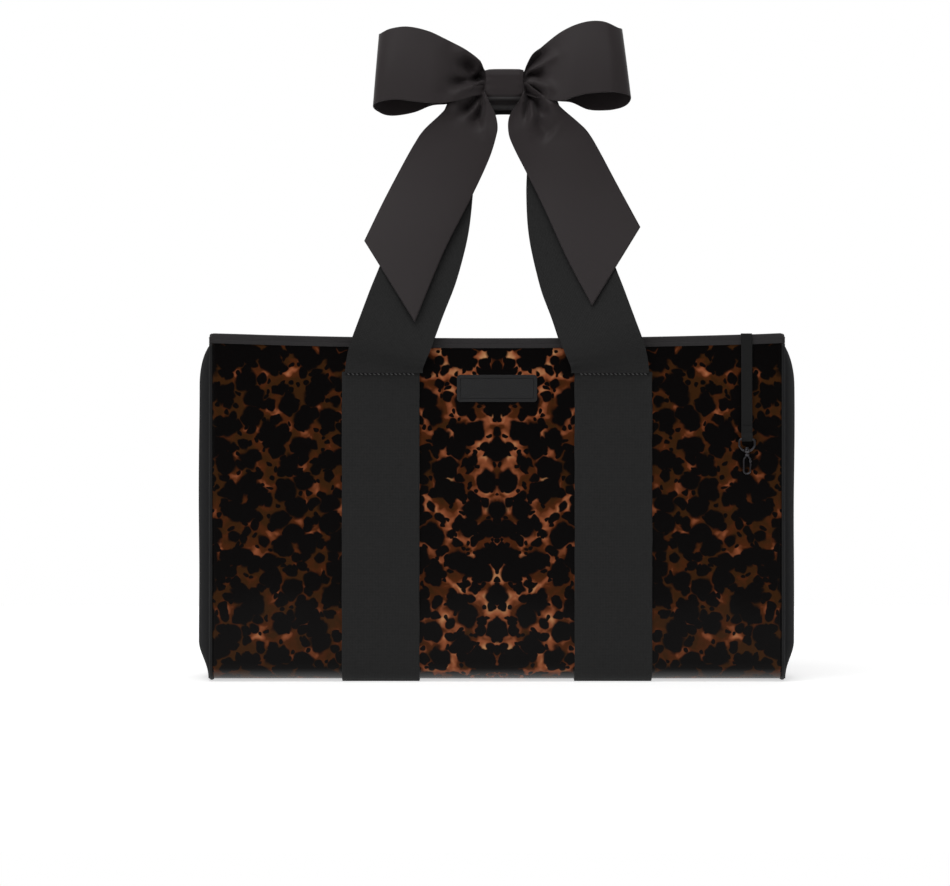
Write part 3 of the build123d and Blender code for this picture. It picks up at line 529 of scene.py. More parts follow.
def printed_vinyl():
    """Tortoiseshell-printed PVC, polished in the press: near-black round blotches of three
    sizes run together, and amber brown shows between them. The print is mirrored about the
    bag's middle."""
    tones = group("tote_colours")
    tree, surface = finish(
        "tortoiseshell_vinyl", tones.shell_brown, 0.42, IOR=1.5, Specular_IOR_Level=0.08,
        Coat_Roughness=0.08, Coat_IOR=1.9,
    )
    where = add(tree, "ShaderNodeTexCoord")
    parts = add(tree, "ShaderNodeSeparateXYZ", None, Vector=where.outputs["Object"])
    # The wall's rolled foot is drawn smooth and shines more than the rest
    foot = ranged(tree, parts.outputs["Z"], 1 * MM, 14 * MM, 0.7, 0.02)
    tree.links.new(foot, surface.inputs["Coat Weight"])
    mirrored = maths(tree, "ABSOLUTE", parts.outputs["X"])
    lowered = maths(tree, "SUBTRACT", parts.outputs["Z"], parts.outputs["Y"])
    flat = add(tree, "ShaderNodeCombineXYZ", None, X=mirrored, Y=lowered)
    drift = add(
        tree, "ShaderNodeTexNoise", {"Scale": 1 / (13.5 * MM), "Detail": 1.5, "Roughness": 0.5},
        Vector=flat.outputs[0],
    )
    centred = add(
        tree, "ShaderNodeVectorMath", {"operation": "SUBTRACT", 1: (0.5, 0.5, 0.5)},
        in_0=drift.outputs["Color"],
    )
    pushed = add(
        tree, "ShaderNodeVectorMath", {"operation": "MULTIPLY_ADD", 1: (12 * MM,) * 3},
        in_0=centred.outputs[0], in_2=flat.outputs[0],
    ).outputs[0]
    large = blotches(tree, pushed, 25 * MM, 9.9 * MM)
    middling = blotches(tree, pushed, 14 * MM, 5.1 * MM)
    small = blotches(tree, pushed, 11 * MM, 2.3 * MM)
    both = maths(tree, "SMOOTH_MIN", large, middling, 0.12)
    every = maths(tree, "SMOOTH_MIN", both, small, 0.12)
    between = ranged(tree, every, 0.88, 1.2)
    # Amber glows in spots, most of all towards the middle of the wall
    glow = add(
        tree, "ShaderNodeTexNoise", {"Scale": 1 / (20 * MM), "Detail": 2.0, "Roughness": 0.55},
        Vector=pushed,
    )
    middle = ranged(tree, mirrored, 30 * MM, 120 * MM, 0.11, -0.035, smooth=False)
    warm = maths(tree, "ADD", glow.outputs["Fac"], middle)
    ramp = add(tree, "ShaderNodeValToRGB", None, Fac=warm)
    ramp.color_ramp.elements[1].position = 0.80
    ramp.color_ramp.elements[1].color = linear(tones.shell_light)
    ramp.color_ramp.elements[0].position = 0.42
    ramp.color_ramp.elements[0].color = linear(tones.shell_brown)
    for position, colour in ((0.55, tones.shell_rust), (0.67, tones.shell_amber)):
        ramp.color_ramp.elements.new(position).color = linear(colour)
    shade = add(
        tree, "ShaderNodeMix", {"data_type": "RGBA", 6: linear(tones.shell_dark)},
        in_0=between, in_7=ramp.outputs["Color"],
    )
    tree.links.new(shade.outputs[2], surface.inputs["Base Color"])


def plain_cloths():
    """The cloths, tapes and threads, with yarns as coarse as they need to be to show."""
    tones = group("tote_colours")

    # Cotton webbing, piece-dyed black: matt, with a plain weave of thick yarns
    tree, surface = finish("cotton_webbing", tones.webbing, 0.92, Sheen_Weight=0.05)
    woven(tree, surface, tones.webbing, 1.5 * MM, 0.5, 0.45, 0.22 * MM)

    # Polyester satin ribbon: a soft broad shine and no yarn that the eye can find
    tree, surface = finish(
        "polyester_satin", tones.ribbon, 0.58, Sheen_Weight=0.08, Sheen_Roughness=0.5,
        Specular_IOR_Level=0.25,
    )
    grained(
        tree, surface, "ShaderNodeTexNoise", {"Scale": 1 / (2.2 * MM), "Detail": 2.0}, 0.03 * MM,
        on_cloth=True,
    )

    # Grosgrain tape: fine ribs across it
    tree, surface = finish("grosgrain_tape", tones.tape, 0.85, Sheen_Weight=0.05)
    woven(tree, surface, tones.tape, 1.1 * MM, 0.12, 0.62, 0.2 * MM)

    # Narrow polyester tape of the leash, tighter and flatter than the webbing
    tree, surface = finish(
        "polyester_tape", tones.leash, 0.8, Sheen_Weight=0.03, Specular_IOR_Level=0.3
    )
    woven(tree, surface, tones.leash, 0.8 * MM, 0.5, 0.7, 0.08 * MM)

    # Coated cotton of the side walls: matt, with the cloth's grain just showing
    tree, surface = finish("coated_gusset_cloth", tones.gusset, 0.9, Specular_IOR_Level=0.03)
    grained(tree, surface, "ShaderNodeTexNoise", {"Scale": 1 / (1.6 * MM), "Detail": 3.0}, 0.1 * MM)

    # Nylon lining: smooth, dark and a little shiny
    tree, surface = finish("nylon_lining", tones.lining, 0.55, Sheen_Weight=0.1)
    woven(tree, surface, tones.lining, 0.9 * MM, 0.5, 0.8, 0.05 * MM)

    # Bonded polyester sewing thread, paler than the webbing so that the rows show
    finish("bonded_thread", tones.thread, 0.55)

    # Extruded soft vinyl of the piping, which catches a thin line of light
    finish("vinyl_piping", "#1C1C1D", 0.5, Specular_IOR_Level=0.2)

    # Calendered vinyl under the bag, with a fine pressed grain
    tree, surface = finish("plain_base_vinyl", "#171516", 0.45)
    grained(tree, surface, "ShaderNodeTexVoronoi", {"Scale": 1 / (1.4 * MM)}, 0.08 * MM)

    # Imitation leather of the patch: satin, with a small pressed pebble grain
    tree, surface = finish("pressed_patch_leather", tones.patch, 0.62, Specular_IOR_Level=0.3)
    grained(
        tree, surface, "ShaderNodeTexVoronoi", {"Scale": 1 / (1.1 * MM), "Randomness": 0.9},
        0.12 * MM,
    )

    # Cross-linked polyethylene foam, cut from a sheet: pale and dull
    finish("closed_cell_foam", "#B9B9B4", 0.85)

    # Pressed fibreboard covered in black paper cloth
    finish("covered_fibreboard", "#1D1D1E", 0.75)


def metals():
    """Black nickel plate on the clip, bright nickel on the snap and drawn steel wire."""
    finish("black_nickel_plate", group("tote_colours").clip, 0.28, Metallic=1.0)
    finish("nickel_plate", "#C4C2BC", 0.22, Metallic=1.0)
    finish("spring_steel_wire", "#8E9094", 0.35, Metallic=1.0)


class TOTE_OT_finishes(bpy.types.Operator):
    """Make the finishes of every piece"""

    bl_idname = "tote.finishes"
    bl_label = "Finishes"

    def execute(self, context):
        printed_vinyl()
        plain_cloths()
        metals()
        return {"FINISHED"}


# Bag body

def swell(x, z, low_z, high_z):
    """How far the printed wall stands out between its seams, from 0 to 1. It lies flat
    under the straps, the patch and the leash."""
    up = math.sin(math.pi * ease(low_z, high_z, z)) ** 0.7
    strap_in, strap_out = STRAP_LOW.x, STRAP_HIGH.x
    fullness = 0
    if abs(x) < strap_in:
        below_patch = ease(0, 40 * MM, PATCH_LOW.z - z)
        fullness = ease(0, 0.3, 1 - abs(x) / strap_in) * below_patch
        fullness *= math.cos(math.pi / 2 * abs(x) / strap_in) ** 0.5
    elif abs(x) > strap_out:
        share = min((abs(x) - strap_out) / (HALF_WIDTH - strap_out), 1)
        fullness = math.sin(math.pi * share)
        if x > 0:
            fullness *= ease(0, 8 * MM, LEASH_LOW.x - x) * 0.5 + 0.1
    ripple = noise.noise(Vector((x * 9, 0.3, z * 6)))
    return up * fullness * (0.75 + 0.5 * ripple)


def wall_profile(v, low_z, high_z, base_in):
    """A point on the wall's outer face, from the rim at v 0 down and under to the base seam at
    v 1, as (distance out from the middle, height) and how far round the corner it is."""
    upright = high_z - low_z - CORNER_RADIUS
    bend = math.pi / 2 * CORNER_RADIUS
    under = -FRONT_FACE - CORNER_RADIUS - base_in
    run = v * (upright + bend + under)
    if run < upright:
        return -FRONT_FACE, high_z - run, 0.0
    if run < upright + bend:
        a = (run - upright) / CORNER_RADIUS
        out = -FRONT_FACE - CORNER_RADIUS * (1 - math.cos(a))
        return out, low_z + CORNER_RADIUS * (1 - math.sin(a)), 1.0
    return -FRONT_FACE - CORNER_RADIUS - (run - upright - bend), low_z, 1.0


def shell_panel(side):
    """One printed wall, from under the rim tape to its seam under the base."""
    sizes = group("tote_sizes")
    low_z, high_z = PANEL_LOW.z, PANEL_HIGH.z
    base_in = BASE_HIGH.y

    def place(u, v):
        x = mix(-HALF_WIDTH, HALF_WIDTH, u) * (1 if side < 0 else -1)
        out, z, turning = wall_profile(1 - v, low_z, high_z, base_in)
        if not turning:
            out += sizes.panel_wave * swell(x, z, low_z, high_z)
        return Vector((x, side * out, z))

    length = high_z - low_z + base_in
    bm = cloth_grid(150, 110, (2 * HALF_WIDTH, length), place)
    name = "front" if side < 0 else "back"
    piece = finished(
        f"{name}_printed_wall", bm, "tortoiseshell_vinyl", "bag_body",
        [f"{name}_panel"],
    )
    return thicken(piece, VINYL_THICKNESS, offset=-1)


def base_sheet():
    """Plain vinyl between the two seams under the bag, lapped a little over them."""
    half = BASE_HIGH.y

    def place(u, v):
        sag = 0.25 * MM * math.sin(math.pi * u) * math.sin(math.pi * v)
        return Vector((mix(HALF_WIDTH, -HALF_WIDTH, u), mix(-half, half, v), BASE_LOW.z + sag))

    bm = cloth_grid(60, 16, (2 * HALF_WIDTH, 2 * half), place)
    piece = finished("base_sheet", bm, "plain_base_vinyl", "bag_body", ["base_panel"])
    return thicken(piece, VINYL_THICKNESS, offset=-1)


def foam_slab(wall):
    """A foam sheet with soft edges that fills the space of its solid."""
    low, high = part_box(f"{wall}_foam")
    gap = Vector((0.1 * MM,) * 3)
    bm = block(low + gap, high - gap)
    piece = finished(
        f"{wall}_foam_slab", bm, "closed_cell_foam", "bag_body", [f"{wall}_foam"]
    )
    soften(piece, 0.8 * MM, 3)
    return piece


class TOTE_OT_walls(bpy.types.Operator):
    """Build the printed walls, the base sheet and the foam behind them"""

    bl_idname = "tote.walls"
    bl_label = "Walls and base"

    def execute(self, context):
        shell_panel(-1)
        shell_panel(1)
        base_sheet()
        for wall in ("front", "back", "base"):
            foam_slab(wall)
        return {"FINISHED"}


def gusset_wall(hand):
    """One soft side wall, full in the middle, drawn flat under the rim tape and round the
    lower corners."""
    sizes = group("tote_sizes")
    low, high = GUSSET_LOW, GUSSET_HIGH
    half = -FRONT_FACE
    seam_x = HALF_WIDTH + 0.6 * MM

    def place(u, v):
        z = mix(low.z, high.z, v)
        # The lower corners are round in the side view
        drop = max(CORNER_RADIUS - (z - low.z), 0)
        reach = half - CORNER_RADIUS + math.sqrt(max(CORNER_RADIUS**2 - drop**2, 0))
        y = mix(-reach, reach, u) * hand
        across = math.cos(math.pi / 2 * min(abs(y) / half, 1)) ** 0.62
        shoulder = min(max(SIDE_TAPE_LOW.z - z, 0) / SHOULDER_DROP, 1)
        neck = math.sqrt(1 - (1 - shoulder) ** 2)
        foot = 0.35 + 0.65 * ease(low.z, low.z + 34 * MM, z)
        crease = 1 - 0.1 * math.exp(-((y / (9 * MM)) ** 2)) * neck
        ripple = 1 + 0.08 * noise.noise(Vector((y * 14, hand * 3.1, z * 9)))
        out = sizes.gusset_fullness * across * neck * foot * crease * ripple
        return Vector((hand * (seam_x + out), y, z))

    bm = cloth_grid(48, 90, (2 * half, high.z - low.z), place)
    side = "left" if hand < 0 else "right"
    piece = finished(
        f"{side}_side_wall", bm, "coated_gusset_cloth", "bag_body",
        [f"{side}_gusset"],
    )
    return thicken(piece, VINYL_THICKNESS)


def piping(hand):
    """Rounded piping down the front seam of one side wall, under it and up the back."""
    middle_x = (PIPING_LOW.x + PIPING_HIGH.x) / 2 * hand
    half_x = (PIPING_HIGH.x - PIPING_LOW.x) / 2
    half_deep = 0.75 * MM
    inset = 0.45 * MM
    out = PIPING_HIGH.y - inset
    low, top = PIPING_LOW.z + inset, PIPING_HIGH.z
    line = under_bag(out, top, low, CORNER_RADIUS + 0.5 * MM)

    def place(u, v):
        point = line(v)
        along = line(min(v + 0.001, 1)) - line(max(v - 0.001, 0))
        away = Vector((0, -along.z, along.y)).normalized()
        a = math.tau * u * hand
        sideways = Vector((middle_x + half_x * math.cos(a), 0, 0))
        return point + sideways - away * half_deep * math.sin(a)

    bm = cloth_grid(10, 220, (8 * MM, 0.8), place, closed=True)
    bmesh.ops.holes_fill(bm, edges=bm.edges, sides=0)
    bmesh.ops.recalc_face_normals(bm, faces=bm.faces)
    side = "left" if hand < 0 else "right"
    return finished(
        f"{side}_piping", bm, "vinyl_piping", "bag_body", [f"{side}_seam_piping"]
    )


class TOTE_OT_sides(bpy.types.Operator):
    """Build the soft side walls and their piping"""

    bl_idname = "tote.sides"
    bl_label = "Side walls"

    def execute(self, context):
        for hand in (-1, 1):
            gusset_wall(hand)
            piping(hand)
        return {"FINISHED"}


def rim_tape(side, place_along, length, half_across, height, segments):
    """Grosgrain tape folded over a rim. place_along(u, across, up) puts a point: across is
    its distance outwards from the middle of the rim and up its height from the rim's top."""
    thick = TAPE_THICKNESS
    half = half_across - thick / 2
    lap = height - thick / 2
    turn = min(half, 1.6 * MM)
    flat = 2 * (half - turn)
    bend = math.pi / 2 * turn
    upright = lap - turn
    total = 2 * upright + 2 * bend + flat

    def section(run):
        if run < upright:
            # The sewn line half way up the lap is pulled in
            pulled = 0.3 * MM * math.exp(-(((run - 0.48 * upright) / (0.8 * MM)) ** 2))
            return half - pulled, -lap + run
        run -= upright
        if run < bend:
            a = run / turn
            return half - turn + turn * math.cos(a), -thick / 2 - turn + turn * math.sin(a)
        run -= bend
        if run < flat:
            return half - turn - run, -thick / 2
        run -= flat
        if run < bend:
            a = math.pi / 2 + run / turn
            return -half + turn + turn * math.cos(a), -thick / 2 - turn + turn * math.sin(a)
        return -half, -thick / 2 - turn - (run - bend)

    def place(u, v):
        across, up = section(v * total)
        return place_along(u, across, up)

    bm = cloth_grid(segments, 56, (length, total), place)
    piece = finished(
        f"{side}_rim_tape", bm, "grosgrain_tape", "bag_body", [f"{side}_rim_binding"]
    )
    return thicken(piece, thick)


def rounding(place, end):
    """How far a rim tape's top drops where it rounds off towards its end."""
    radius = 4.2 * MM
    past = min(max(place - (end - radius), 0), radius)
    return radius - math.sqrt(radius**2 - past**2)


class TOTE_OT_rim(bpy.types.Operator):
    """Fold the rim tape over the four edges of the mouth"""

    bl_idname = "tote.rim"
    bl_label = "Rim tape"

    def execute(self, context):
        top = TAPE_HIGH.z
        reach = TAPE_HIGH.x
        tape_y = (abs(TAPE_LOW.y) + abs(TAPE_HIGH.y)) / 2
        half_across = (TAPE_HIGH.y - TAPE_LOW.y) / 2
        height = SIDE_TAPE_HIGH.z - SIDE_TAPE_LOW.z
        for side, name in ((-1, "front"), (1, "back")):
            def place(u, across, up, side=side):
                x = mix(-reach, reach, u) * -side
                sag = LONG_RIM_SAG * (1 - (x / reach) ** 2)
                # Thick seams make low bumps near the corners
                bump = 0.3 * MM * noise.noise(Vector((x * 30, side, 0)))
                bump *= ease(0.6, 1, abs(x) / reach)
                corner = rounding(abs(x), reach) * (1 + up / height)
                return Vector((x, side * (tape_y + across), top - sag + up + bump - corner))

            rim_tape(name, place, 2 * reach, half_across, height, 140)
        side_x = (SIDE_TAPE_LOW.x + SIDE_TAPE_HIGH.x) / 2
        half_x = (SIDE_TAPE_HIGH.x - SIDE_TAPE_LOW.x) / 2
        half_y = SIDE_TAPE_HIGH.y
        for hand, name in ((-1, "left"), (1, "right")):
            def place(u, across, up, hand=hand):
                y = mix(-half_y, half_y, u) * hand
                sag = SHORT_RIM_SAG * (1 - (y / half_y) ** 2)
                corner = rounding(abs(y), half_y) * (1 + up / height)
                return Vector((hand * (side_x + across), y, SIDE_TAPE_HIGH.z - sag + up - corner))

            rim_tape(name, place, 2 * half_y, half_x, height, 60)
        return {"FINISHED"}


class TOTE_OT_straps(bpy.types.Operator):
    """Sew the two webbing straps round the bag, with rows of thread at their tops"""

    bl_idname = "tote.straps"
    bl_label = "Body straps"

    def execute(self, context):
        thick = group("tote_sizes").webbing_thickness
        half = thick / 2
        route = under_bag(STRAP_HIGH.y - half, STITCH_Z, STRAP_LOW.z + half, CORNER_RADIUS + half)
        length = 2 * (STITCH_Z + STRAP_HIGH.y)
        for hand, side in ((-1, "left"), (1, "right")):
            def place(u, v, hand=hand):
                point = route(1 - v)
                wander = 0.45 * MM * noise.noise(Vector((hand * 5.0, v * 26, 0)))
                point.x = hand * STRAP_MIDDLE + STRAP_WIDTH * (u - 0.5) + wander
                return point

            bm = cloth_grid(24, 190, (STRAP_WIDTH, length), place)
            bmesh.ops.recalc_face_normals(bm, faces=bm.faces)
            piece = finished(
                f"{side}_webbing_strap", bm, "cotton_webbing", "bag_body",
                [f"{side}_body_strap"],
            )
            thicken(piece, thick, rounded=0.6 * MM)
        stitches()
        return {"FINISHED"}


def stitches():
    """Short slanted stitches in a row across the top of each strap, front and back."""
    length = group("tote_sizes").stitch_length
    # The row runs just under the handle's end
    row_z = STITCH_Z - 2.2 * MM
    pitch = 4.2 * MM
    thread = 1.3 * MM
    slant = math.radians(32)
    count = int((STRAP_WIDTH - 6 * MM) / pitch)
    bm = bmesh.new()
    for side in (-1, 1):
        for hand in (-1, 1):
            for i in range(count):
                made = bmesh.ops.create_uvsphere(bm, u_segments=8, v_segments=6, radius=0.5)
                x = hand * STRAP_MIDDLE + (i - (count - 1) / 2) * pitch
                shape = (
                    Matrix.Translation((x, side * STRAP_HIGH.y, row_z))
                    @ Matrix.Rotation(slant, 4, "Y")
                    @ Matrix.Diagonal((length, thread, thread, 1))
                )
                bmesh.ops.transform(bm, matrix=shape, verts=made["verts"])
    return finished(
        "strap_top_stitches", bm, "bonded_thread", "bag_body", ["strap_stitches"]
    )


# Inside the bag

def lining_pouch():
    """The sewn lining: one open bag with soft waves, rounded where the floor begins."""
    low_z, top_z = LINING_LOW.z + 0.5 * MM, LINING_HIGH.z
    half_x, half_y = LINING_HIGH.x - 0.3 * MM, LINING_HIGH.y - 0.3 * MM
    radius = 9 * MM
    around = 2 * (2 * half_x + 2 * half_y)

    corners = [Vector((x * half_x, y * half_y)) for x, y in ((-1, -1), (1, -1), (1, 1), (-1, 1))]
    ways_out = [Vector((0, -1)), Vector((1, 0)), Vector((0, 1)), Vector((-1, 0))]

    def rim_point(u):
        """A point round the pouch's plan, anticlockwise, its way outwards, and how far along
        its side it is."""
        run = u * around
        for start, end, out in zip(corners, corners[1:] + corners[:1], ways_out):
            length = (end - start).length
            if run <= length + 1e-9:
                return mix(start, end, run / length), out, run / length
            run -= length
        return corners[0], ways_out[-1], 1.0

    def place(u, v):
        plan, out, share = rim_point(u)
        if v < 0.7:
            z = mix(top_z, low_z + radius, v / 0.7)
            edge = math.sin(math.pi * share)
            wave = max(noise.noise(Vector((plan.x * 10, plan.y * 10, z * 7))), 0)
            inward = 1.8 * MM * wave * edge * ease(0, 0.12, v) * ease(0, 0.1, 0.7 - v)
            behind_pocket = out.y == 1 and abs(plan.x) < POCKET_HIGH.x
            if not behind_pocket:
                plan = plan - out * inward
            return Vector((plan.x, plan.y, z))
        if v < 0.8:
            a = (v - 0.7) / 0.1 * math.pi / 2
            shrink = radius * (1 - math.cos(a))
            z = low_z + radius * (1 - math.sin(a))
        else:
            shrink = radius + (min(half_x, half_y) - radius) * (v - 0.8) / 0.2 * 0.995
            z = low_z
        x = math.copysign(max(abs(plan.x) - shrink, 0), plan.x)
        y = math.copysign(max(abs(plan.y) - shrink, 0), plan.y)
        return Vector((x, y, z))

    bm = cloth_grid(240, 80, (around, top_z - low_z + half_y), place, closed=True)
    bmesh.ops.dissolve_degenerate(bm, dist=0.02 * MM, edges=bm.edges)
    bmesh.ops.recalc_face_normals(bm, faces=bm.faces)
    piece = finished("lining_pouch", bm, "nylon_lining", "bag_body", ["lining"])
    return thicken(piece, LINING_THICKNESS)


def pocket():
    """Open-topped pocket on the back lining, a little full at its mouth, with its hem."""
    low, high = POCKET_LOW, POCKET_HIGH
    back_y = high.y - 0.4 * MM
    room = high.y - low.y

    def front(x, z):
        """Depth of the pocket's face in front of the lining."""
        across = math.cos(math.pi / 2 * abs(x) / high.x) ** 0.35
        up = ease(low.z, low.z + 26 * MM, z)
        wave = 0.8 * MM * noise.noise(Vector((x * 14, 7.0, z * 11)))
        return (room - 1.3 * MM + wave) * across * up

    def place(u, v):
        x, z = mix(low.x, high.x, u), mix(low.z, high.z, v)
        return Vector((x, back_y - front(x, z), z))

    bm = cloth_grid(70, 60, (high.x - low.x, high.z - low.z), place)
    piece = finished("pocket_face", bm, "nylon_lining", "bag_body", ["slip_pocket"])
    thicken(piece, 0.6 * MM)

    def place_hem(u, v):
        x = mix(HEM_LOW.x, HEM_HIGH.x, u)
        z = mix(HEM_LOW.z, HEM_HIGH.z, v)
        return Vector((x, back_y - front(x, z) - 0.75 * MM, z))

    bm = cloth_grid(70, 6, (HEM_HIGH.x - HEM_LOW.x, HEM_HIGH.z - HEM_LOW.z), place_hem)
    piece = finished(
        "pocket_mouth_tape", bm, "grosgrain_tape", "bag_body", ["pocket_hem"]
    )
    return thicken(piece, 0.7 * MM)


def dress(node, material):
    """Gives a solid that stays its finish."""
    slots = frame["nodes"][node].data.materials
    slots.clear()
    slots.append(bpy.data.materials[material])


class TOTE_OT_inside(bpy.types.Operator):
    """Line the bag and add its pocket, base board and magnetic snap"""

    bl_idname = "tote.inside"
    bl_label = "Inside"

    def execute(self, context):
        lining_pouch()
        pocket()
        dress("base_board", "covered_fibreboard")
        dress("snap_stud", "nickel_plate")
        dress("snap_socket", "nickel_plate")
        return {"FINISHED"}


class TOTE_OT_patch(bpy.types.Operator):
    """Make the bare patch on the front, with a pressed line round its edge"""

    bl_idname = "tote.patch"
    bl_label = "Patch"

    def execute(self, context):
        bm = block(PATCH_LOW, PATCH_HIGH)
        upright = [e for e in bm.edges if abs(e.verts[0].co.y - e.verts[1].co.y) > 1 * MM]
        bmesh.ops.bevel(
            bm, geom=upright, offset=3.4 * MM, segments=8, profile=0.5, affect="EDGES",
            material=-1,
        )
        face = min(bm.faces, key=lambda f: f.calc_center_median().y)
        bmesh.ops.bevel(
            bm, geom=list(face.edges), offset=0.5 * MM, segments=3, profile=0.5, affect="EDGES",
            material=-1,
        )
        face = min(bm.faces, key=lambda f: (round(f.normal.y, 3), -f.calc_area()))
        line_half, line_depth = 0.35 * MM, 0.45 * MM
        for thickness, depth in (
            (2.4 * MM, 0), (line_half, -line_depth), (0.1 * MM, 0), (line_half, line_depth)
        ):
            bmesh.ops.inset_region(bm, faces=[face], thickness=thickness, depth=depth)
        bmesh.ops.triangulate(bm, faces=[face])
        piece = finished(
            "bare_patch", bm, "pressed_patch_leather", "bag_body", ["label_patch"]
        )
        for polygon in piece.data.polygons:
            polygon.use_smooth = abs(polygon.normal.y) < 0.99
        return {"FINISHED"}


# Handles

# Heights and ways in of a handle's leg above the rim, as shares of the way from the rim to the
# grip: share in, share up, lean of the webbing in degrees and how far it is folded shut
LEG = [
    (0.145, 0.134, 19, 0.0), (0.297, 0.271, 18.5, 0.0), (0.420, 0.441, 14, 0.02),
    (0.515, 0.599, 10, 0.24), (0.618, 0.749, 18, 0.60), (0.708, 0.850, 32, 0.86),
    (0.780, 0.947, 55, 1.0),
]
WEBBING_WIDTH = 76 * MM
GRIP_WIDTH = 34 * MM
GRIP_Z = 585 * MM
GRIP_X = 7.7 * MM
GRIP_HALF = 19.6 * MM
RIM_Z = 338 * MM
HANDLE_BULGE = 9.5 * MM
HANDLE_Y = 86.5 * MM
# Depth of the front handle's grip, in millimetres as the bow's lines are
FRONT_GRIP_Y = -6.9
HANDLE_LENGTH = 780 * MM
BACK_SPREAD = 5 * MM
LOOSE_FOLD = 6 * MM
FOOT_X = 110.7 * MM


def handle_stations(grip_y, side):
    """The handle's line from its left foot over the grip to its right foot. Each station is
    its middle, the way across the webbing towards its outer edge, and how far it is folded."""
    pivot_y = side * HANDLE_Y
    rim_y = pivot_y + side * HANDLE_BULGE
    apart = BACK_SPREAD if side > 0 else 0
    rim_x = FOOT_X - 10 * MM + 0.8 * apart
    leg = [
        (FOOT_X, STITCH_Z - 1.2 * MM, pivot_y - side * 0.2 * MM, 0, 0),
        (FOOT_X, STITCH_Z + 1.5 * MM, pivot_y + side * 0.3 * MM, 0, 0),
        (FOOT_X - 0.8 * MM, STITCH_Z + 7 * MM, mix(pivot_y, rim_y, 0.10), 3, 0),
        (FOOT_X - 2.0 * MM, STITCH_Z + 12.5 * MM, mix(pivot_y, rim_y, 0.45), 7, 0),
        (FOOT_X - 4.2 * MM, STITCH_Z + 19 * MM, mix(pivot_y, rim_y, 0.98), 12, 0),
        (rim_x, RIM_Z, rim_y, 19, 0),
    ]
    for way_in, way_up, lean, shut in LEG:
        z = mix(RIM_Z, GRIP_Z, way_up)
        wider = mix(rim_x, GRIP_HALF, way_in) + 0.4 * apart * (1 - way_up)
        leg.append((wider, z, mix(rim_y, grip_y, way_up), lean, shut))
    leg.append((GRIP_HALF, GRIP_Z, grip_y, 90, 1))

    def station(out, z, y, lean, shut, hand):
        draw = GRIP_X * max(0.0, (z - RIM_Z) / (GRIP_Z - RIM_Z)) ** 2
        a = math.radians(lean)
        return Vector((hand * out + draw, y, z)), Vector((hand * math.cos(a), 0, math.sin(a))), shut

    left = [station(*s, -1) for s in leg]
    right = [station(*s, 1) for s in reversed(leg)]
    return left + right


def handle(wall, grip_y):
    """One handle of webbing, sewn flat at its feet and folded in half at the grip, with the
    fold along its outer edge."""
    side = -1 if wall == "front" else 1
    thick = group("tote_sizes").webbing_thickness
    stations = handle_stations(grip_y, side)
    middle = through([s[0] for s in stations])
    marks = shares_along([s[0] for s in stations])
    outward = through([s[1] for s in stations], marks)
    shutting = through([(s[2], 0, 0) for s in stations], marks)
    tight = thick / 2 + 0.15 * MM

    def spread(u, v):
        """The fold at v: how far it is shut, its radius, its flat front layer, the webbing in
        its turn, and that from the inner edge to the point. Columns close up round the turn."""
        shut = min(max(shutting(v).x, 0), 1)
        radius = mix(LOOSE_FOLD, tight, ease(0, 0.4, shut))
        flat = mix(WEBBING_WIDTH, GRIP_WIDTH, shut) - thick / 2 * ease(0, 0.02, shut)
        turn = min(math.pi * radius, WEBBING_WIDTH - flat)
        left_over = WEBBING_WIDTH - flat - turn
        first = mix(flat / WEBBING_WIDTH, 0.44, ease(0, 0.3, shut))
        second = mix(1, 0.56, ease(0, WEBBING_WIDTH / 3, left_over))
        if u < first:
            run = flat * u / first
        elif u < second:
            run = flat + turn * (u - first) / (second - first)
        else:
            run = flat + turn + left_over * (u - second) / max(1 - second, 1e-6)
        return shut, radius, flat, turn, run

    def place(u, v):
        centre = middle(v)
        across = outward(v).normalized()
        shut, radius, flat, turn, run = spread(u, v)
        front_y = -tight * ease(0, 0.25, shut)
        inner = -mix(WEBBING_WIDTH, GRIP_WIDTH, shut) / 2
        if run <= flat:
            along, back = inner + run, front_y
        elif run <= flat + turn:
            a = (run - flat) / radius
            along = inner + flat + radius * math.sin(a)
            back = front_y + radius * (1 - math.cos(a))
        else:
            along, back = inner + flat - (run - flat - turn), front_y + 2 * radius
        cup = 0.5 * MM * math.sin(math.pi * u) * (1 - shut)
        return centre + across * along + Vector((0, -side * back + side * cup, 0))

    def lay(u, v):
        return spread(u, v)[-1], v * HANDLE_LENGTH

    bm = cloth_grid(64, 250, (WEBBING_WIDTH, HANDLE_LENGTH), place, lay=lay)
    bmesh.ops.recalc_face_normals(bm, faces=bm.faces)
    piece = finished(f"{wall}_webbing_handle", bm, "cotton_webbing")
    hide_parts(f"{wall}_handle")
    thicken(piece, thick, rounded=0.6 * MM, even=False)
    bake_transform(piece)
    return piece


class TOTE_OT_handles(bpy.types.Operator):
    """Build the two webbing handles, folded in half at the grip"""

    bl_idname = "tote.handles"
    bl_label = "Handles"

    def execute(self, context):
        handle("front", FRONT_GRIP_Y * MM)
        handle("back", 1.6 * MM)
        return {"FINISHED"}


# Ribbon bow. Its lines are in millimetres from the middle of the knot, as (x, z) in the
# front view. A fold is its line, its depth and its width

BOW = Vector((7.7, 0, 585))
RIBBON_WIDTH = 76 * MM

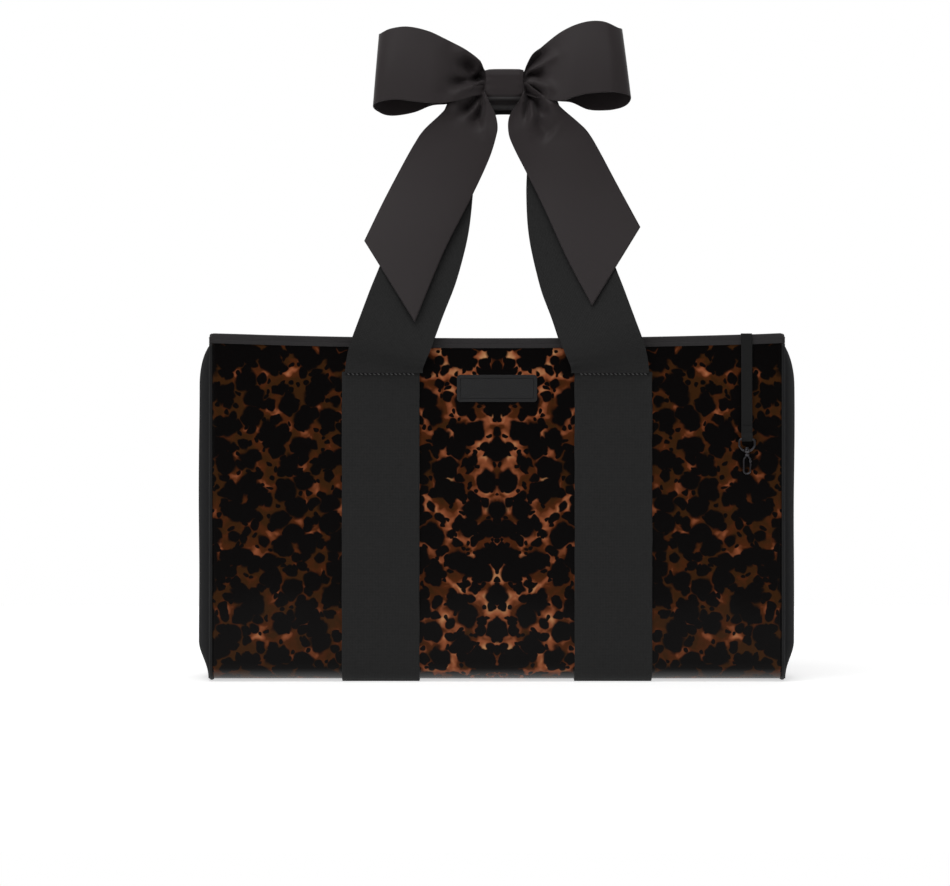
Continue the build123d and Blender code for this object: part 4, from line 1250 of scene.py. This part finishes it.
LOOPS = {
    "left": {
        "top": [
            (-126, 57.2), (-115.6, 61.3), (-98, 63.2), (-77, 59), (-61, 52), (-37.2, 39.6),
            (-24, 29.2), (-19, 20), (-4, 13),
        ],
        "front_hem": [
            (-130, -15.5), (-120.3, -12.5), (-106.8, -11), (-93.6, -12.3), (-79.3, -13.9),
            (-64, -14.4), (-45, -11), (-30, -6), (-19, -4), (-4, -5),
        ],
        "back_hem": [
            (-130, -16.5), (-125, -19.5), (-116.4, -23.7), (-106, -24.3), (-88.1, -20.7),
            (-72.1, -14), (-57, -12.5), (-40, -9), (-19, -5), (-4, -5),
        ],
        "end": 127.6,
        "slant": 0.075,
        "folds": [
            ([(-21, 20), (-30, 18), (-38, 26.8), (-45, 36)], -7.5, 5.2),
            ([(-20, 17.5), (-25.5, 21), (-30, 16.4), (-36, 12.5), (-50, 14)], 4.2, 3.2),
            ([(-20, 12), (-30.3, 11.2), (-37.2, 10.3), (-47.8, 6.9), (-57, -3)], -7.5, 4.4),
            ([(-20, 7), (-31, 5), (-44, 1), (-56, -9)], 3.0, 4.2),
            ([(-21, 27), (-34, 34), (-55, 46)], 3.0, 5.5),
        ],
    },
    "right": {
        "top": [
            (4, 13), (19.2, 19), (22.6, 26.9), (27.9, 36.5), (36.2, 43.1), (58, 59), (79.8, 67.6),
            (100.1, 68.7), (118, 62.5),
        ],
        "front_hem": [
            (4, -5), (19, -4), (34, -8), (46, -11), (56.6, -12), (67.4, -8.3), (79.3, -5.3),
            (97.3, -3.7), (110.2, -3.8), (125, -6.5),
        ],
        "back_hem": [
            (4, -5), (19, -5), (40, -9), (57.2, -9.8), (66.9, -11), (81.9, -18), (98.3, -19),
            (110.2, -17.3), (117.6, -14.3), (124.8, -7.5),
        ],
        "end": 122.2,
        "slant": 0.115,
        "folds": [
            ([(20, 19), (28.3, 26.8), (36.3, 33.7), (47, 42)], -5.5, 4.2),
            ([(19, 16.5), (26.3, 20.8), (33.9, 24.4), (44.2, 31.7), (56, 38)], 3.6, 3.2),
            ([(19.5, 12.5), (26.3, 15.8), (33.9, 15.0), (40, 6.5)], -5.5, 3.8),
            ([(19, 8), (30, 8.5), (42, 2), (52, -7)], 4.0, 4.0),
            ([(19, 1.5), (30, -1.5), (42, -8)], -4.0, 3.2),
        ],
    },
}

TAILS = {
    "left": {
        "outer": [
            (-5, 10), (-20.4, 10.2), (-30.3, 5.5), (-42.2, -0.8), (-51.8, -10), (-61.4, -22.2),
            (-80.6, -40.8), (-90.2, -55.4), (-101, -75), (-119.9, -112.2), (-138.3, -151.9),
        ],
        "inner": [
            (-4, -2), (-19.2, -1), (-15.7, -11.1), (-9.6, -23.2), (-7, -34.2), (-7.3, -42.6),
            (-14.4, -66.8), (-31.3, -104.7), (-59.8, -162.5), (-88.1, -232.6),
        ],
        "folds": [
            ([(-20, 4), (-26.3, 0.5), (-30.3, -9), (-39.2, -18.2), (-50, -28)], -6.0, 4.0),
            ([(-20, 2), (-21.8, -6), (-21.4, -15), (-28.3, -29.2), (-19.4, -41)], -7.0, 4.2),
            ([(-20, 3), (-24.5, -5), (-26.5, -16), (-37, -30)], 3.2, 3.2),
            ([(-20, 7.5), (-32, 1.5), (-46, -9), (-56, -24)], 3.4, 4.2),
            ([(-19, 0), (-15.5, -14), (-12, -30), (-13, -50)], 3.0, 4.4),
        ],
    },
    "right": {
        "outer": [
            (5, 8), (19.4, 8.2), (30.4, 0.6), (40.3, -6.4), (48.5, -11.2), (58.1, -19.7),
            (72.4, -31.8), (82.1, -41.4), (91.8, -57.1), (110.7, -93.6), (133.7, -138),
        ],
        "inner": [
            (4, -4), (18.4, -4.4), (11.2, -16.2), (5.1, -25.8), (3.4, -36.6), (5.7, -49.9),
            (22, -83.7), (37.3, -115.5), (61.8, -170.9), (85.2, -216.5),
        ],
        "folds": [
            ([(19.4, 1), (22.6, -10), (19, -24), (12.5, -31)], -6.0, 3.6),
            ([(19.8, 2.5), (30.3, -9), (35.2, -20), (41, -29)], -7.0, 3.8),
            ([(19.6, 1.8), (27, -12), (27, -26), (24, -44)], 3.2, 3.6),
            ([(35.2, -34), (41, -41), (49, -47)], -2.6, 6.0),
            ([(20, 6), (34, -4), (47, -16), (58, -30)], 3.4, 4.4),
        ],
    },
}

LOOP_LEAN = math.tan(math.radians(14))


def turned_back(out, y, end):
    """How far a loop's ribbon has come round from its front layer, 0, to its back layer, 1."""
    if out > 0.75 * end:
        return ease(-40, -24, y)
    return 1.0 if y > (-30 if out > 0.5 * end else -22) else 0.0


def loop_piece(side):
    """One bow loop: ribbon that leaves the knot in front, turns at its end and comes back
    behind, gathered into folds at the knot and open below."""
    data = LOOPS[side]
    hand = -1 if side == "left" else 1
    end = data["end"]
    share = group("tote_sizes").fold_depth
    top = level_along(sorted(data["top"]))
    front_hem = level_along(sorted(data["front_hem"]))
    back_hem = level_along(sorted(data["back_hem"]))
    # Plan: distance out from the knot's middle, and depth
    plan = [
        (5, -27.3), (19, -27.8), (34, -35), (58, -44.5), (84, -49.2), (104, -49.6), (end - 10, -47),
        (end - 2.2, -41), (end, -33), (end - 2.2, -25), (end - 10, -19), (100, -16.8), (60, -16.4),
        (19, -16.4), (5, -16.4),
    ]
    line = through([(a, b, 0) for a, b in plan])

    def place(u, v):
        point = line(u if hand > 0 else 1 - u)
        out, y = point.x, point.y
        back = turned_back(out, y, end)
        front = 1 - back
        x = hand * out
        z = mix(mix(front_hem(x), back_hem(x), back), top(x), v)
        x += hand * (21 - z) * data["slant"] * (out / end) ** 3
        gather = 1 - ease(17, 62, out)
        pleat = 1.5 * gather * math.sin(math.tau * (3.2 * v + 0.15))
        crease = folded(x, z, data["folds"]) * ease(14, 24, out) * share
        belly = 1.6 * (2 * math.sin(math.pi * v) - 1) * ease(30, 95, out)
        y -= (crease + belly) * front + pleat * (0.45 * front + 0.3 * back)
        if out < 19:
            y = min(max(y, -29), -15.6)
        lean = LOOP_LEAN * z * ease(8, 40, out)
        roll = 1.2 * math.sin(math.tau * out / 74) * math.sin(math.pi * v)
        roll *= front * ease(40, 80, out)
        return (BOW + Vector((x, y + lean + roll, z))) * MM

    bm = cloth_grid(150, 72, (2 * end * MM, RIBBON_WIDTH), place)
    piece = finished(
        f"bow_loop_{side}", bm, "polyester_satin", "front_handle_loop",
        [f"bow_{side}_loop"],
    )
    thicken(piece, group("tote_sizes").ribbon_thickness, even=False)
    return piece


def tail_depth(z):
    """Depth of a tail's middle plane: out of the knot's side, clear of its front, and then
    hanging down in front of the handle's leg. z is from the knot's middle."""
    root_y, clear_y, blend = -32.2, -38.2, 5.0
    before_knot = mix(root_y, clear_y, ease(4.5, 13.5, -z)) + 0.045 * min(z + 13.5, 0)
    leg = mix(FRONT_GRIP_Y, -96.0, -z / 247) - 6.2
    # The nearer of the two, with a round change between them
    apart = min(max((leg - before_knot) / blend, -30), 30)
    return leg - blend * math.log(1 + math.exp(apart))


def tail_piece(side):
    """One hanging tail, folded at the knot and cut on a slant."""
    data = TAILS[side]
    hand = -1 if side == "left" else 1
    share = group("tote_sizes").fold_depth
    outer = through([(x, 0, z) for x, z in data["outer"]])
    inner = through([(x, 0, z) for x, z in data["inner"]])

    def place(u, v):
        across = u if hand < 0 else 1 - u
        edge_out, edge_in = outer(1 - v), inner(1 - v)
        x, z = mix(edge_out.x, edge_in.x, across), mix(edge_out.z, edge_in.z, across)
        y = mix(tail_depth(edge_out.z), tail_depth(edge_in.z), across)
        down = ease(20, 120, -z)
        crease = folded(x, z, data["folds"]) * ease(16, 25, abs(x)) * (1 - ease(45, 75, -z))
        if abs(x) < 19.5 and z > -12:
            crease *= 0.2
        loose = 1.6 * math.sin(math.pi * across) * ease(30, 90, -z) * (1 - down * 0.5)
        wave = 1.1 * math.sin(z / 26 + hand * 0.9) * (across - 0.5) * down
        curl = 1.4 * abs(2 * across - 1) ** 6 * down
        y -= crease * share + loose - curl * 0.4 + wave
        return (BOW + Vector((x, y, z))) * MM

    bm = cloth_grid(64, 170, (70 * MM, 262 * MM), place)
    piece = finished(
        f"bow_tail_{side}", bm, "polyester_satin", "front_handle_loop",
        [f"bow_{side}_tail"],
    )
    thicken(piece, group("tote_sizes").ribbon_thickness, even=False)
    return piece


def knot_piece():
    """The ribbon band round the bow's middle and the grip, pinched in at its sides."""
    low, high = KNOT_LOW / MM, KNOT_HIGH / MM
    centre = (low + high) / 2
    middle, half = centre.x, (high.x - low.x) / 2
    centre.x = 0
    front, back, foot, top = low.y, high.y, low.z, high.z
    section = [
        (front + 0.6, top - 7), (front + 2.6, top - 1.7), (front + 9, top - 0.6),
        (centre.y, top - 0.6), (back - 4, top - 0.6), (back - 1.2, top - 2.4),
        (back - 0.6, top - 12), (back - 0.6, foot + 8), (back - 1.2, foot + 2),
        (back - 4, foot + 0.6), (back - 7, foot + 1.4), (front + 18, foot + 5.5),
        (front + 15.5, foot + 9), (front + 11, foot + 10.9), (front + 4, foot + 11.8),
        (front + 1.3, foot + 14), (front + 0.6, foot + 18), (front + 0.5, foot + 25),
        (front + 0.6, top - 7),
    ]
    line = through([(0, y, z) for y, z in section])

    def place(u, v):
        point = line(1 - v)
        x = mix(-1, 1, u)
        away = (point - centre).normalized()
        forward = ease(0, 1, (centre.y - point.y) / 12)
        pinch = ease(0.72, 1.0, abs(x)) ** 1.5 * forward
        crown = 0.25 * (1 - x * x) * forward
        ridge = 0.21 * math.sin(point.z * 0.75 + x * 1.3) * ease(0.35, 0.95, abs(x)) * forward
        point = point - away * (pinch - crown + ridge + 0.2)
        narrow = 1 - 0.045 * forward * (1 - min(abs(point.z - centre.z) / 18, 1))
        return Vector((middle + half * x * narrow, point.y, point.z)) * MM

    bm = cloth_grid(48, 120, ((high.x - low.x) * MM, 140 * MM), place, closed=True)
    bmesh.ops.recalc_face_normals(bm, faces=bm.faces)
    piece = finished(
        "ribbon_knot", bm, "polyester_satin", "front_handle_loop", ["bow_knot"]
    )
    thicken(piece, group("tote_sizes").ribbon_thickness, offset=-1)
    return piece


class TOTE_OT_bow(bpy.types.Operator):
    """Tie the ribbon bow on the front handle's grip"""

    bl_idname = "tote.bow"
    bl_label = "Bow"

    def execute(self, context):
        knot_piece()
        for side in ("left", "right"):
            loop_piece(side)
            tail_piece(side)
        return {"FINISHED"}


# Leash and clip

LEASH_THICKNESS = 1 * MM
CLIP_X = (BAIL_LOW.x + BAIL_HIGH.x) / 2
CLIP_Y = (BAIL_LOW.y + BAIL_HIGH.y) / 2
BAIL_ROD = 1 * MM
BAR_Z = BAIL_HIGH.z - BAIL_ROD
BARREL_LOW = BAIL_LOW.z
BARREL_TOP = BARREL_LOW + 4.6 * MM
CLAW_ROD = 0.95 * MM
CLAW_REACH = 4.2 * MM
CLAW_TOP = BARREL_LOW - 2.7 * MM
CLAW_BEND_Z = HOOK_LOW.z + CLAW_REACH
PIN_X = (PIN_LOW.x + PIN_HIGH.x) / 2
PIN_Z = (PIN_LOW.z + PIN_HIGH.z) / 2


class TOTE_OT_leash(bpy.types.Operator):
    """Sew the leash tape inside the rim and hang it over the front, folded round the clip"""

    bl_idname = "tote.leash"
    bl_label = "Leash"

    def execute(self, context):
        x = (LEASH_LOW.x + LEASH_HIGH.x) / 2
        width = LEASH_HIGH.x - LEASH_LOW.x - 1.2 * MM
        top_z = TAPE_HIGH.z - 0.85 * MM
        inner_y, outer_y = -76.7 * MM, -84.4 * MM
        # The tape lies loosely round the clip's bar, and its end is sewn to its back
        reach = BAIL_ROD + LEASH_THICKNESS / 2 + 0.3 * MM
        back_y, front_y = CLIP_Y + reach, CLIP_Y - reach
        flap_y = back_y - LEASH_THICKNESS - 0.25 * MM
        route = [
            (inner_y, ANCHOR_LOW.z), (inner_y, top_z - 14 * MM), (inner_y, top_z - 3 * MM),
            (inner_y - 0.9 * MM, top_z - 0.5 * MM), (inner_y - 3 * MM, top_z),
            (outer_y + 2.6 * MM, top_z), (outer_y + 0.6 * MM, top_z - 0.7 * MM),
            (outer_y, top_z - 2.6 * MM), (outer_y - 0.2 * MM, top_z - 12 * MM),
            (outer_y - 1.1 * MM, mix(top_z, BAR_Z, 0.5)), (back_y, BAR_Z + 14 * MM),
            (back_y, BAR_Z + 2 * MM), (back_y, BAR_Z),
            (CLIP_Y + 0.7 * reach, BAR_Z - 0.7 * reach), (CLIP_Y, BAR_Z - reach),
            (CLIP_Y - 0.7 * reach, BAR_Z - 0.7 * reach), (front_y, BAR_Z),
            (front_y + 0.1 * MM, BAR_Z + 2 * MM), (flap_y - 0.2 * MM, BAR_Z + 5.5 * MM),
            (flap_y, BAR_Z + 8 * MM), (flap_y, BAR_Z + 13 * MM),
        ]
        line = through([(0, y, z) for y, z in route])

        def place(u, v):
            point = line(v)
            point.x = x + width * (u - 0.5)
            return point

        length = sum(math.dist(a, b) for a, b in zip(route, route[1:]))
        bm = cloth_grid(12, 240, (width, length), place)
        bmesh.ops.recalc_face_normals(bm, faces=bm.faces)
        piece = finished("leash_tape_strip", bm, "polyester_tape")
        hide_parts("leash_anchor", "leash_strap")
        thicken(piece, LEASH_THICKNESS, rounded=0.35 * MM)
        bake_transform(piece)
        return {"FINISHED"}


def in_clip(x, z):
    """A point in the clip's middle plane, x to the right of its middle and at height z."""
    return Vector((CLIP_X + x, CLIP_Y, z))


def arc(centre, radius, start, end, steps):
    """Points on a circle in the clip's middle plane, from one angle to another in degrees."""
    angles = [math.radians(mix(start, end, i / steps)) for i in range(steps + 1)]
    return [centre + radius * Vector((math.cos(a), 0, math.sin(a))) for a in angles]


def knob(bm, centre, radius, around, up):
    """Adds a small ball."""
    bmesh.ops.create_uvsphere(
        bm, u_segments=around, v_segments=up, radius=radius, matrix=Matrix.Translation(centre)
    )


def clip_bail():
    """The clip's wire frame, with the knobs at its ends and the barrel that they hold."""
    bend = 2.2 * MM
    bend_x = (BAIL_HIGH.x - BAIL_LOW.x) / 2 - BAIL_ROD - bend
    right_side = (
        arc(in_clip(bend_x, BAR_Z - bend), bend, 90, 0, 6)
        + arc(in_clip(bend_x, BAR_Z - 6 * MM), bend, 0, -50, 5)
        + [in_clip(4.6 * MM, BARREL_TOP - 1.6 * MM), in_clip(2.4 * MM, BARREL_TOP - 2.4 * MM)]
    )
    left_side = [Vector((2 * CLIP_X - x, y, z)) for x, y, z in reversed(right_side)]
    bm = bmesh.new()
    wire(bm, left_side + right_side, BAIL_ROD)
    for hand in (-1, 1):
        knob(bm, in_clip(hand * 3.4 * MM, BARREL_TOP - 2 * MM), 1.35 * MM, 20, 12)
    join(bm, turned(
        [(1.3, 0), (2.1, 0), (2.6, 0.5), (2.6, 3.8), (1.8, 4.6), (1.3, 4.6), (1.3, 0)],
        in_clip(0, BARREL_LOW),
    ))
    finished(
        "clip_wire_bail", bm, "black_nickel_plate", "leash_bail", ["clip_bail"]
    )


def clip_claw():
    """The hook: the open claw, the ears of the gate's pin and the post in the barrel."""
    bend = CLAW_REACH - CLAW_ROD
    neck = in_clip(0, CLAW_TOP + 0.6 * MM)
    shoulder = in_clip(0, CLAW_TOP - CLAW_REACH)
    spine = [
        neck, in_clip(-1.6 * MM, CLAW_TOP - 0.9 * MM), *arc(shoulder, bend, 130, 180, 5),
        in_clip(-bend, mix(CLAW_TOP, HOOK_LOW.z, 0.5)),
        *arc(in_clip(0, CLAW_BEND_Z), bend, 180, 360, 14),
        in_clip(bend, CLAW_BEND_Z + 0.55 * MM),
    ]
    brow = [neck, in_clip(1.7 * MM, CLAW_TOP - 1.0 * MM), *arc(shoulder, bend, 50, 12, 4)]
    bm = bmesh.new()
    for line in (spine, brow):
        wire(bm, line, CLAW_ROD, flat=1.55, sides=14)
    for side in (-1, 1):
        join(bm, turned(
            [(0, -0.38), (1.15, -0.38), (1.3, -0.2), (1.3, 0.2), (1.15, 0.38), (0, 0.38)],
            (PIN_X, CLIP_Y + side * 1.22 * MM, PIN_Z), axis="Y", steps=24,
        ))
    join(bm, turned(
        [
            (0, -3.1), (1.9, -3.1), (2.5, -2.2), (2.5, -1.2), (2.1, -0.35), (1.2, -0.35),
            (1.2, 4.9), (2.0, 4.9), (2.2, 5.2), (1.7, 5.8), (0, 5.9),
        ],
        in_clip(0, BARREL_LOW),
    ))
    finished(
        "swivel_claw", bm, "black_nickel_plate", "leash_hook", ["swivel_hook"]
    )


def clip_gate():
    """The sprung lever that shuts the claw, with its eye on the pin and its thumb knob."""
    foot_z = CLAW_BEND_Z + 1.85 * MM
    bm = bmesh.new()
    wire(bm, [
        (PIN_X, CLIP_Y, PIN_Z - 0.3 * MM), (PIN_X, CLIP_Y, mix(PIN_Z, foot_z, 0.4)),
        (PIN_X, CLIP_Y, mix(PIN_Z, foot_z, 0.7)), (PIN_X - 0.15 * MM, CLIP_Y, foot_z),
    ], 0.72 * MM, flat=0.9)
    join(bm, turned(
        [
            (0.6, -0.38), (1.05, -0.38), (1.15, -0.28), (1.15, 0.28), (1.05, 0.38),
            (0.6, 0.38), (0.6, -0.38),
        ],
        (PIN_X, CLIP_Y - 0.2 * MM, PIN_Z), axis="Y", steps=24,
    ))
    radius = 0.62 * MM
    knob(bm, (GATE_HIGH.x - radius, CLIP_Y, PIN_Z - 3.7 * MM), radius, 14, 10)
    finished("claw_gate", bm, "black_nickel_plate", "gate", ["hook_gate"])


class TOTE_OT_clip(bpy.types.Operator):
    """Build the swivel clip: wire bail, turned barrel, claw and sprung gate"""

    bl_idname = "tote.clip"
    bl_label = "Swivel clip"

    def execute(self, context):
        clip_bail()
        clip_claw()
        clip_gate()
        dress("gate_pin", "black_nickel_plate")
        dress("gate_spring", "spring_steel_wire")
        return {"FINISHED"}


# Stage

# The camera stands level in front of the bag. The photograph's middle shows the point
# straight ahead of it, and one of its pixels is 0.98 mm at the front wall
CAMERA_AT = Vector((-21.6, -3500, 234.2)) * MM
FRAME_WIDTH_PX = 950
MM_PER_PX = 0.98
FLOOR_HALF = 1.5


def lamp(name, at, aim, size, energy, colour="#FFFFFF"):
    """A soft square lamp that points at aim."""
    data = bpy.data.lights.new(name, "AREA")
    data.shape = "SQUARE"
    data.size = size
    data.energy = energy
    data.color = linear(colour)[:3]
    light = bpy.data.objects.new(name, data)
    bpy.context.scene.collection.objects.link(light)
    light.location = at
    light.rotation_euler = (Vector(aim) - Vector(at)).to_track_quat("-Z", "Y").to_euler()
    return light


def floor():
    """Wide white floor. It shows as white where it is lit and keeps the bag's shadow."""
    bm = bmesh.new()
    bmesh.ops.create_grid(bm, x_segments=1, y_segments=1, size=FLOOR_HALF)
    mesh = bpy.data.meshes.new("floor")
    bm.to_mesh(mesh)
    bm.free()
    plane = bpy.data.objects.new("floor", mesh)
    bpy.context.scene.collection.objects.link(plane)
    material = bpy.data.materials.new("white_studio_floor")
    material.use_nodes = True
    tree = material.node_tree
    tree.nodes.clear()
    paths = add(tree, "ShaderNodeLightPath")
    seen = maths(tree, "MAXIMUM", paths.outputs["Is Camera Ray"], paths.outputs["Is Glossy Ray"])
    seen = maths(tree, "MAXIMUM", seen, paths.outputs["Is Transmission Ray"])
    strength = maths(tree, "MULTIPLY", seen, 0.62)
    glow = add(tree, "ShaderNodeEmission", {"Color": linear("#FFFFFF")}, Strength=strength)
    paint = add(tree, "ShaderNodeBsdfDiffuse", {"Color": linear("#E6E6E6")})
    both = add(tree, "ShaderNodeAddShader", None, in_0=glow.outputs[0], in_1=paint.outputs[0])
    add(tree, "ShaderNodeOutputMaterial", None, Surface=both.outputs[0])
    mesh.materials.append(material)


def world():
    """White behind the bag, and a plain level of light from all round. Reflections see a
    bright room behind the bag and a dim one on the camera's side."""
    made = bpy.data.worlds.new("studio")
    bpy.context.scene.world = made
    made.use_nodes = True
    tree = made.node_tree
    tree.nodes.clear()
    paths = add(tree, "ShaderNodeLightPath")
    where = add(tree, "ShaderNodeTexCoord")
    parts = add(tree, "ShaderNodeSeparateXYZ", None, Vector=where.outputs["Generated"])
    room = ranged(tree, parts.outputs["Y"], -0.4, 0.5, 0.03, 0.95, smooth=False)
    shiny = add(
        tree, "ShaderNodeMix", {"data_type": "FLOAT", 2: 0.16},
        in_0=paths.outputs["Is Glossy Ray"], in_3=room,
    )
    clear = maths(
        tree, "MAXIMUM", paths.outputs["Is Camera Ray"], paths.outputs["Is Transmission Ray"]
    )
    level = add(
        tree, "ShaderNodeMix", {"data_type": "FLOAT", 3: 1.0}, in_0=clear, in_2=shiny.outputs[0]
    )
    back = add(
        tree, "ShaderNodeBackground", {"Color": linear("#FFFFFF")}, Strength=level.outputs[0]
    )
    add(tree, "ShaderNodeOutputWorld", None, Surface=back.outputs[0])


def camera():
    """A level camera whose frame is the photograph's."""
    data = bpy.data.cameras.new("camera")
    data.sensor_fit = "HORIZONTAL"
    data.sensor_width = 36
    distance = (FRONT_FACE - CAMERA_AT.y) / MM
    data.lens = data.sensor_width * distance / (FRAME_WIDTH_PX * MM_PER_PX)
    data.dof.use_dof = False
    shooting = bpy.data.objects.new("camera", data)
    bpy.context.scene.collection.objects.link(shooting)
    shooting.location = CAMERA_AT
    shooting.rotation_euler = (math.radians(90), 0, 0)
    bpy.context.scene.camera = shooting


class TOTE_OT_stage(bpy.types.Operator):
    """Set the floor, the lamps, the background and the camera"""

    bl_idname = "tote.stage"
    bl_label = "Stage"

    def execute(self, context):
        context.scene.view_settings.view_transform = "Standard"
        floor()
        world()
        lamp("overhead_softbox", (-0.5, -1.5, 2.6), (0, 0, 0.3), 2.2, 38)
        lamp("left_softbox", (-2.6, -1.9, 1.0), (0, 0, 0.3), 1.8, 12)
        lamp("right_softbox", (2.6, -1.7, 0.9), (0, 0, 0.3), 1.8, 7)
        lamp("rear_softbox", (0.4, 2.6, 2.0), (0, 0, 0.3), 2.0, 30)
        camera()
        return {"FINISHED"}


# Panel and registration

STEPS = (
    TOTE_OT_finishes, TOTE_OT_walls, TOTE_OT_sides, TOTE_OT_rim, TOTE_OT_straps,
    TOTE_OT_inside, TOTE_OT_patch, TOTE_OT_handles, TOTE_OT_bow, TOTE_OT_leash, TOTE_OT_clip,
    TOTE_OT_stage,
)


class TOTE_PT_pieces(bpy.types.Panel):
    """Lists the bag's settings and the steps that build it"""

    bl_label = "Tote"
    bl_idname = "TOTE_PT_pieces"
    bl_space_type = "VIEW_3D"
    bl_region_type = "UI"
    bl_category = "Tote"

    def draw(self, context):
        column = self.layout.column()
        for settings in ("tote_sizes", "tote_colours"):
            values = group(settings)
            for key in values.__annotations__:
                column.prop(values, key)
        for step in STEPS:
            column.operator(step.bl_idname)


CLASSES = (ToteSizes, ToteColours, *STEPS, TOTE_PT_pieces)


def register():
    """Registers every class and gives the scene its two groups of settings."""
    for item in CLASSES:
        bpy.utils.register_class(item)
    bpy.types.Scene.tote_sizes = PointerProperty(type=ToteSizes)
    bpy.types.Scene.tote_colours = PointerProperty(type=ToteColours)


def unregister():
    """Takes back what register() did."""
    del bpy.types.Scene.tote_colours
    del bpy.types.Scene.tote_sizes
    for item in reversed(CLASSES):
        bpy.utils.unregister_class(item)


def main():
    """Builds every piece in order."""
    register()
    for step in STEPS:
        area, name = step.bl_idname.split(".")
        getattr(getattr(bpy.ops, area), name)()


if __name__ == "__main__":
    main()
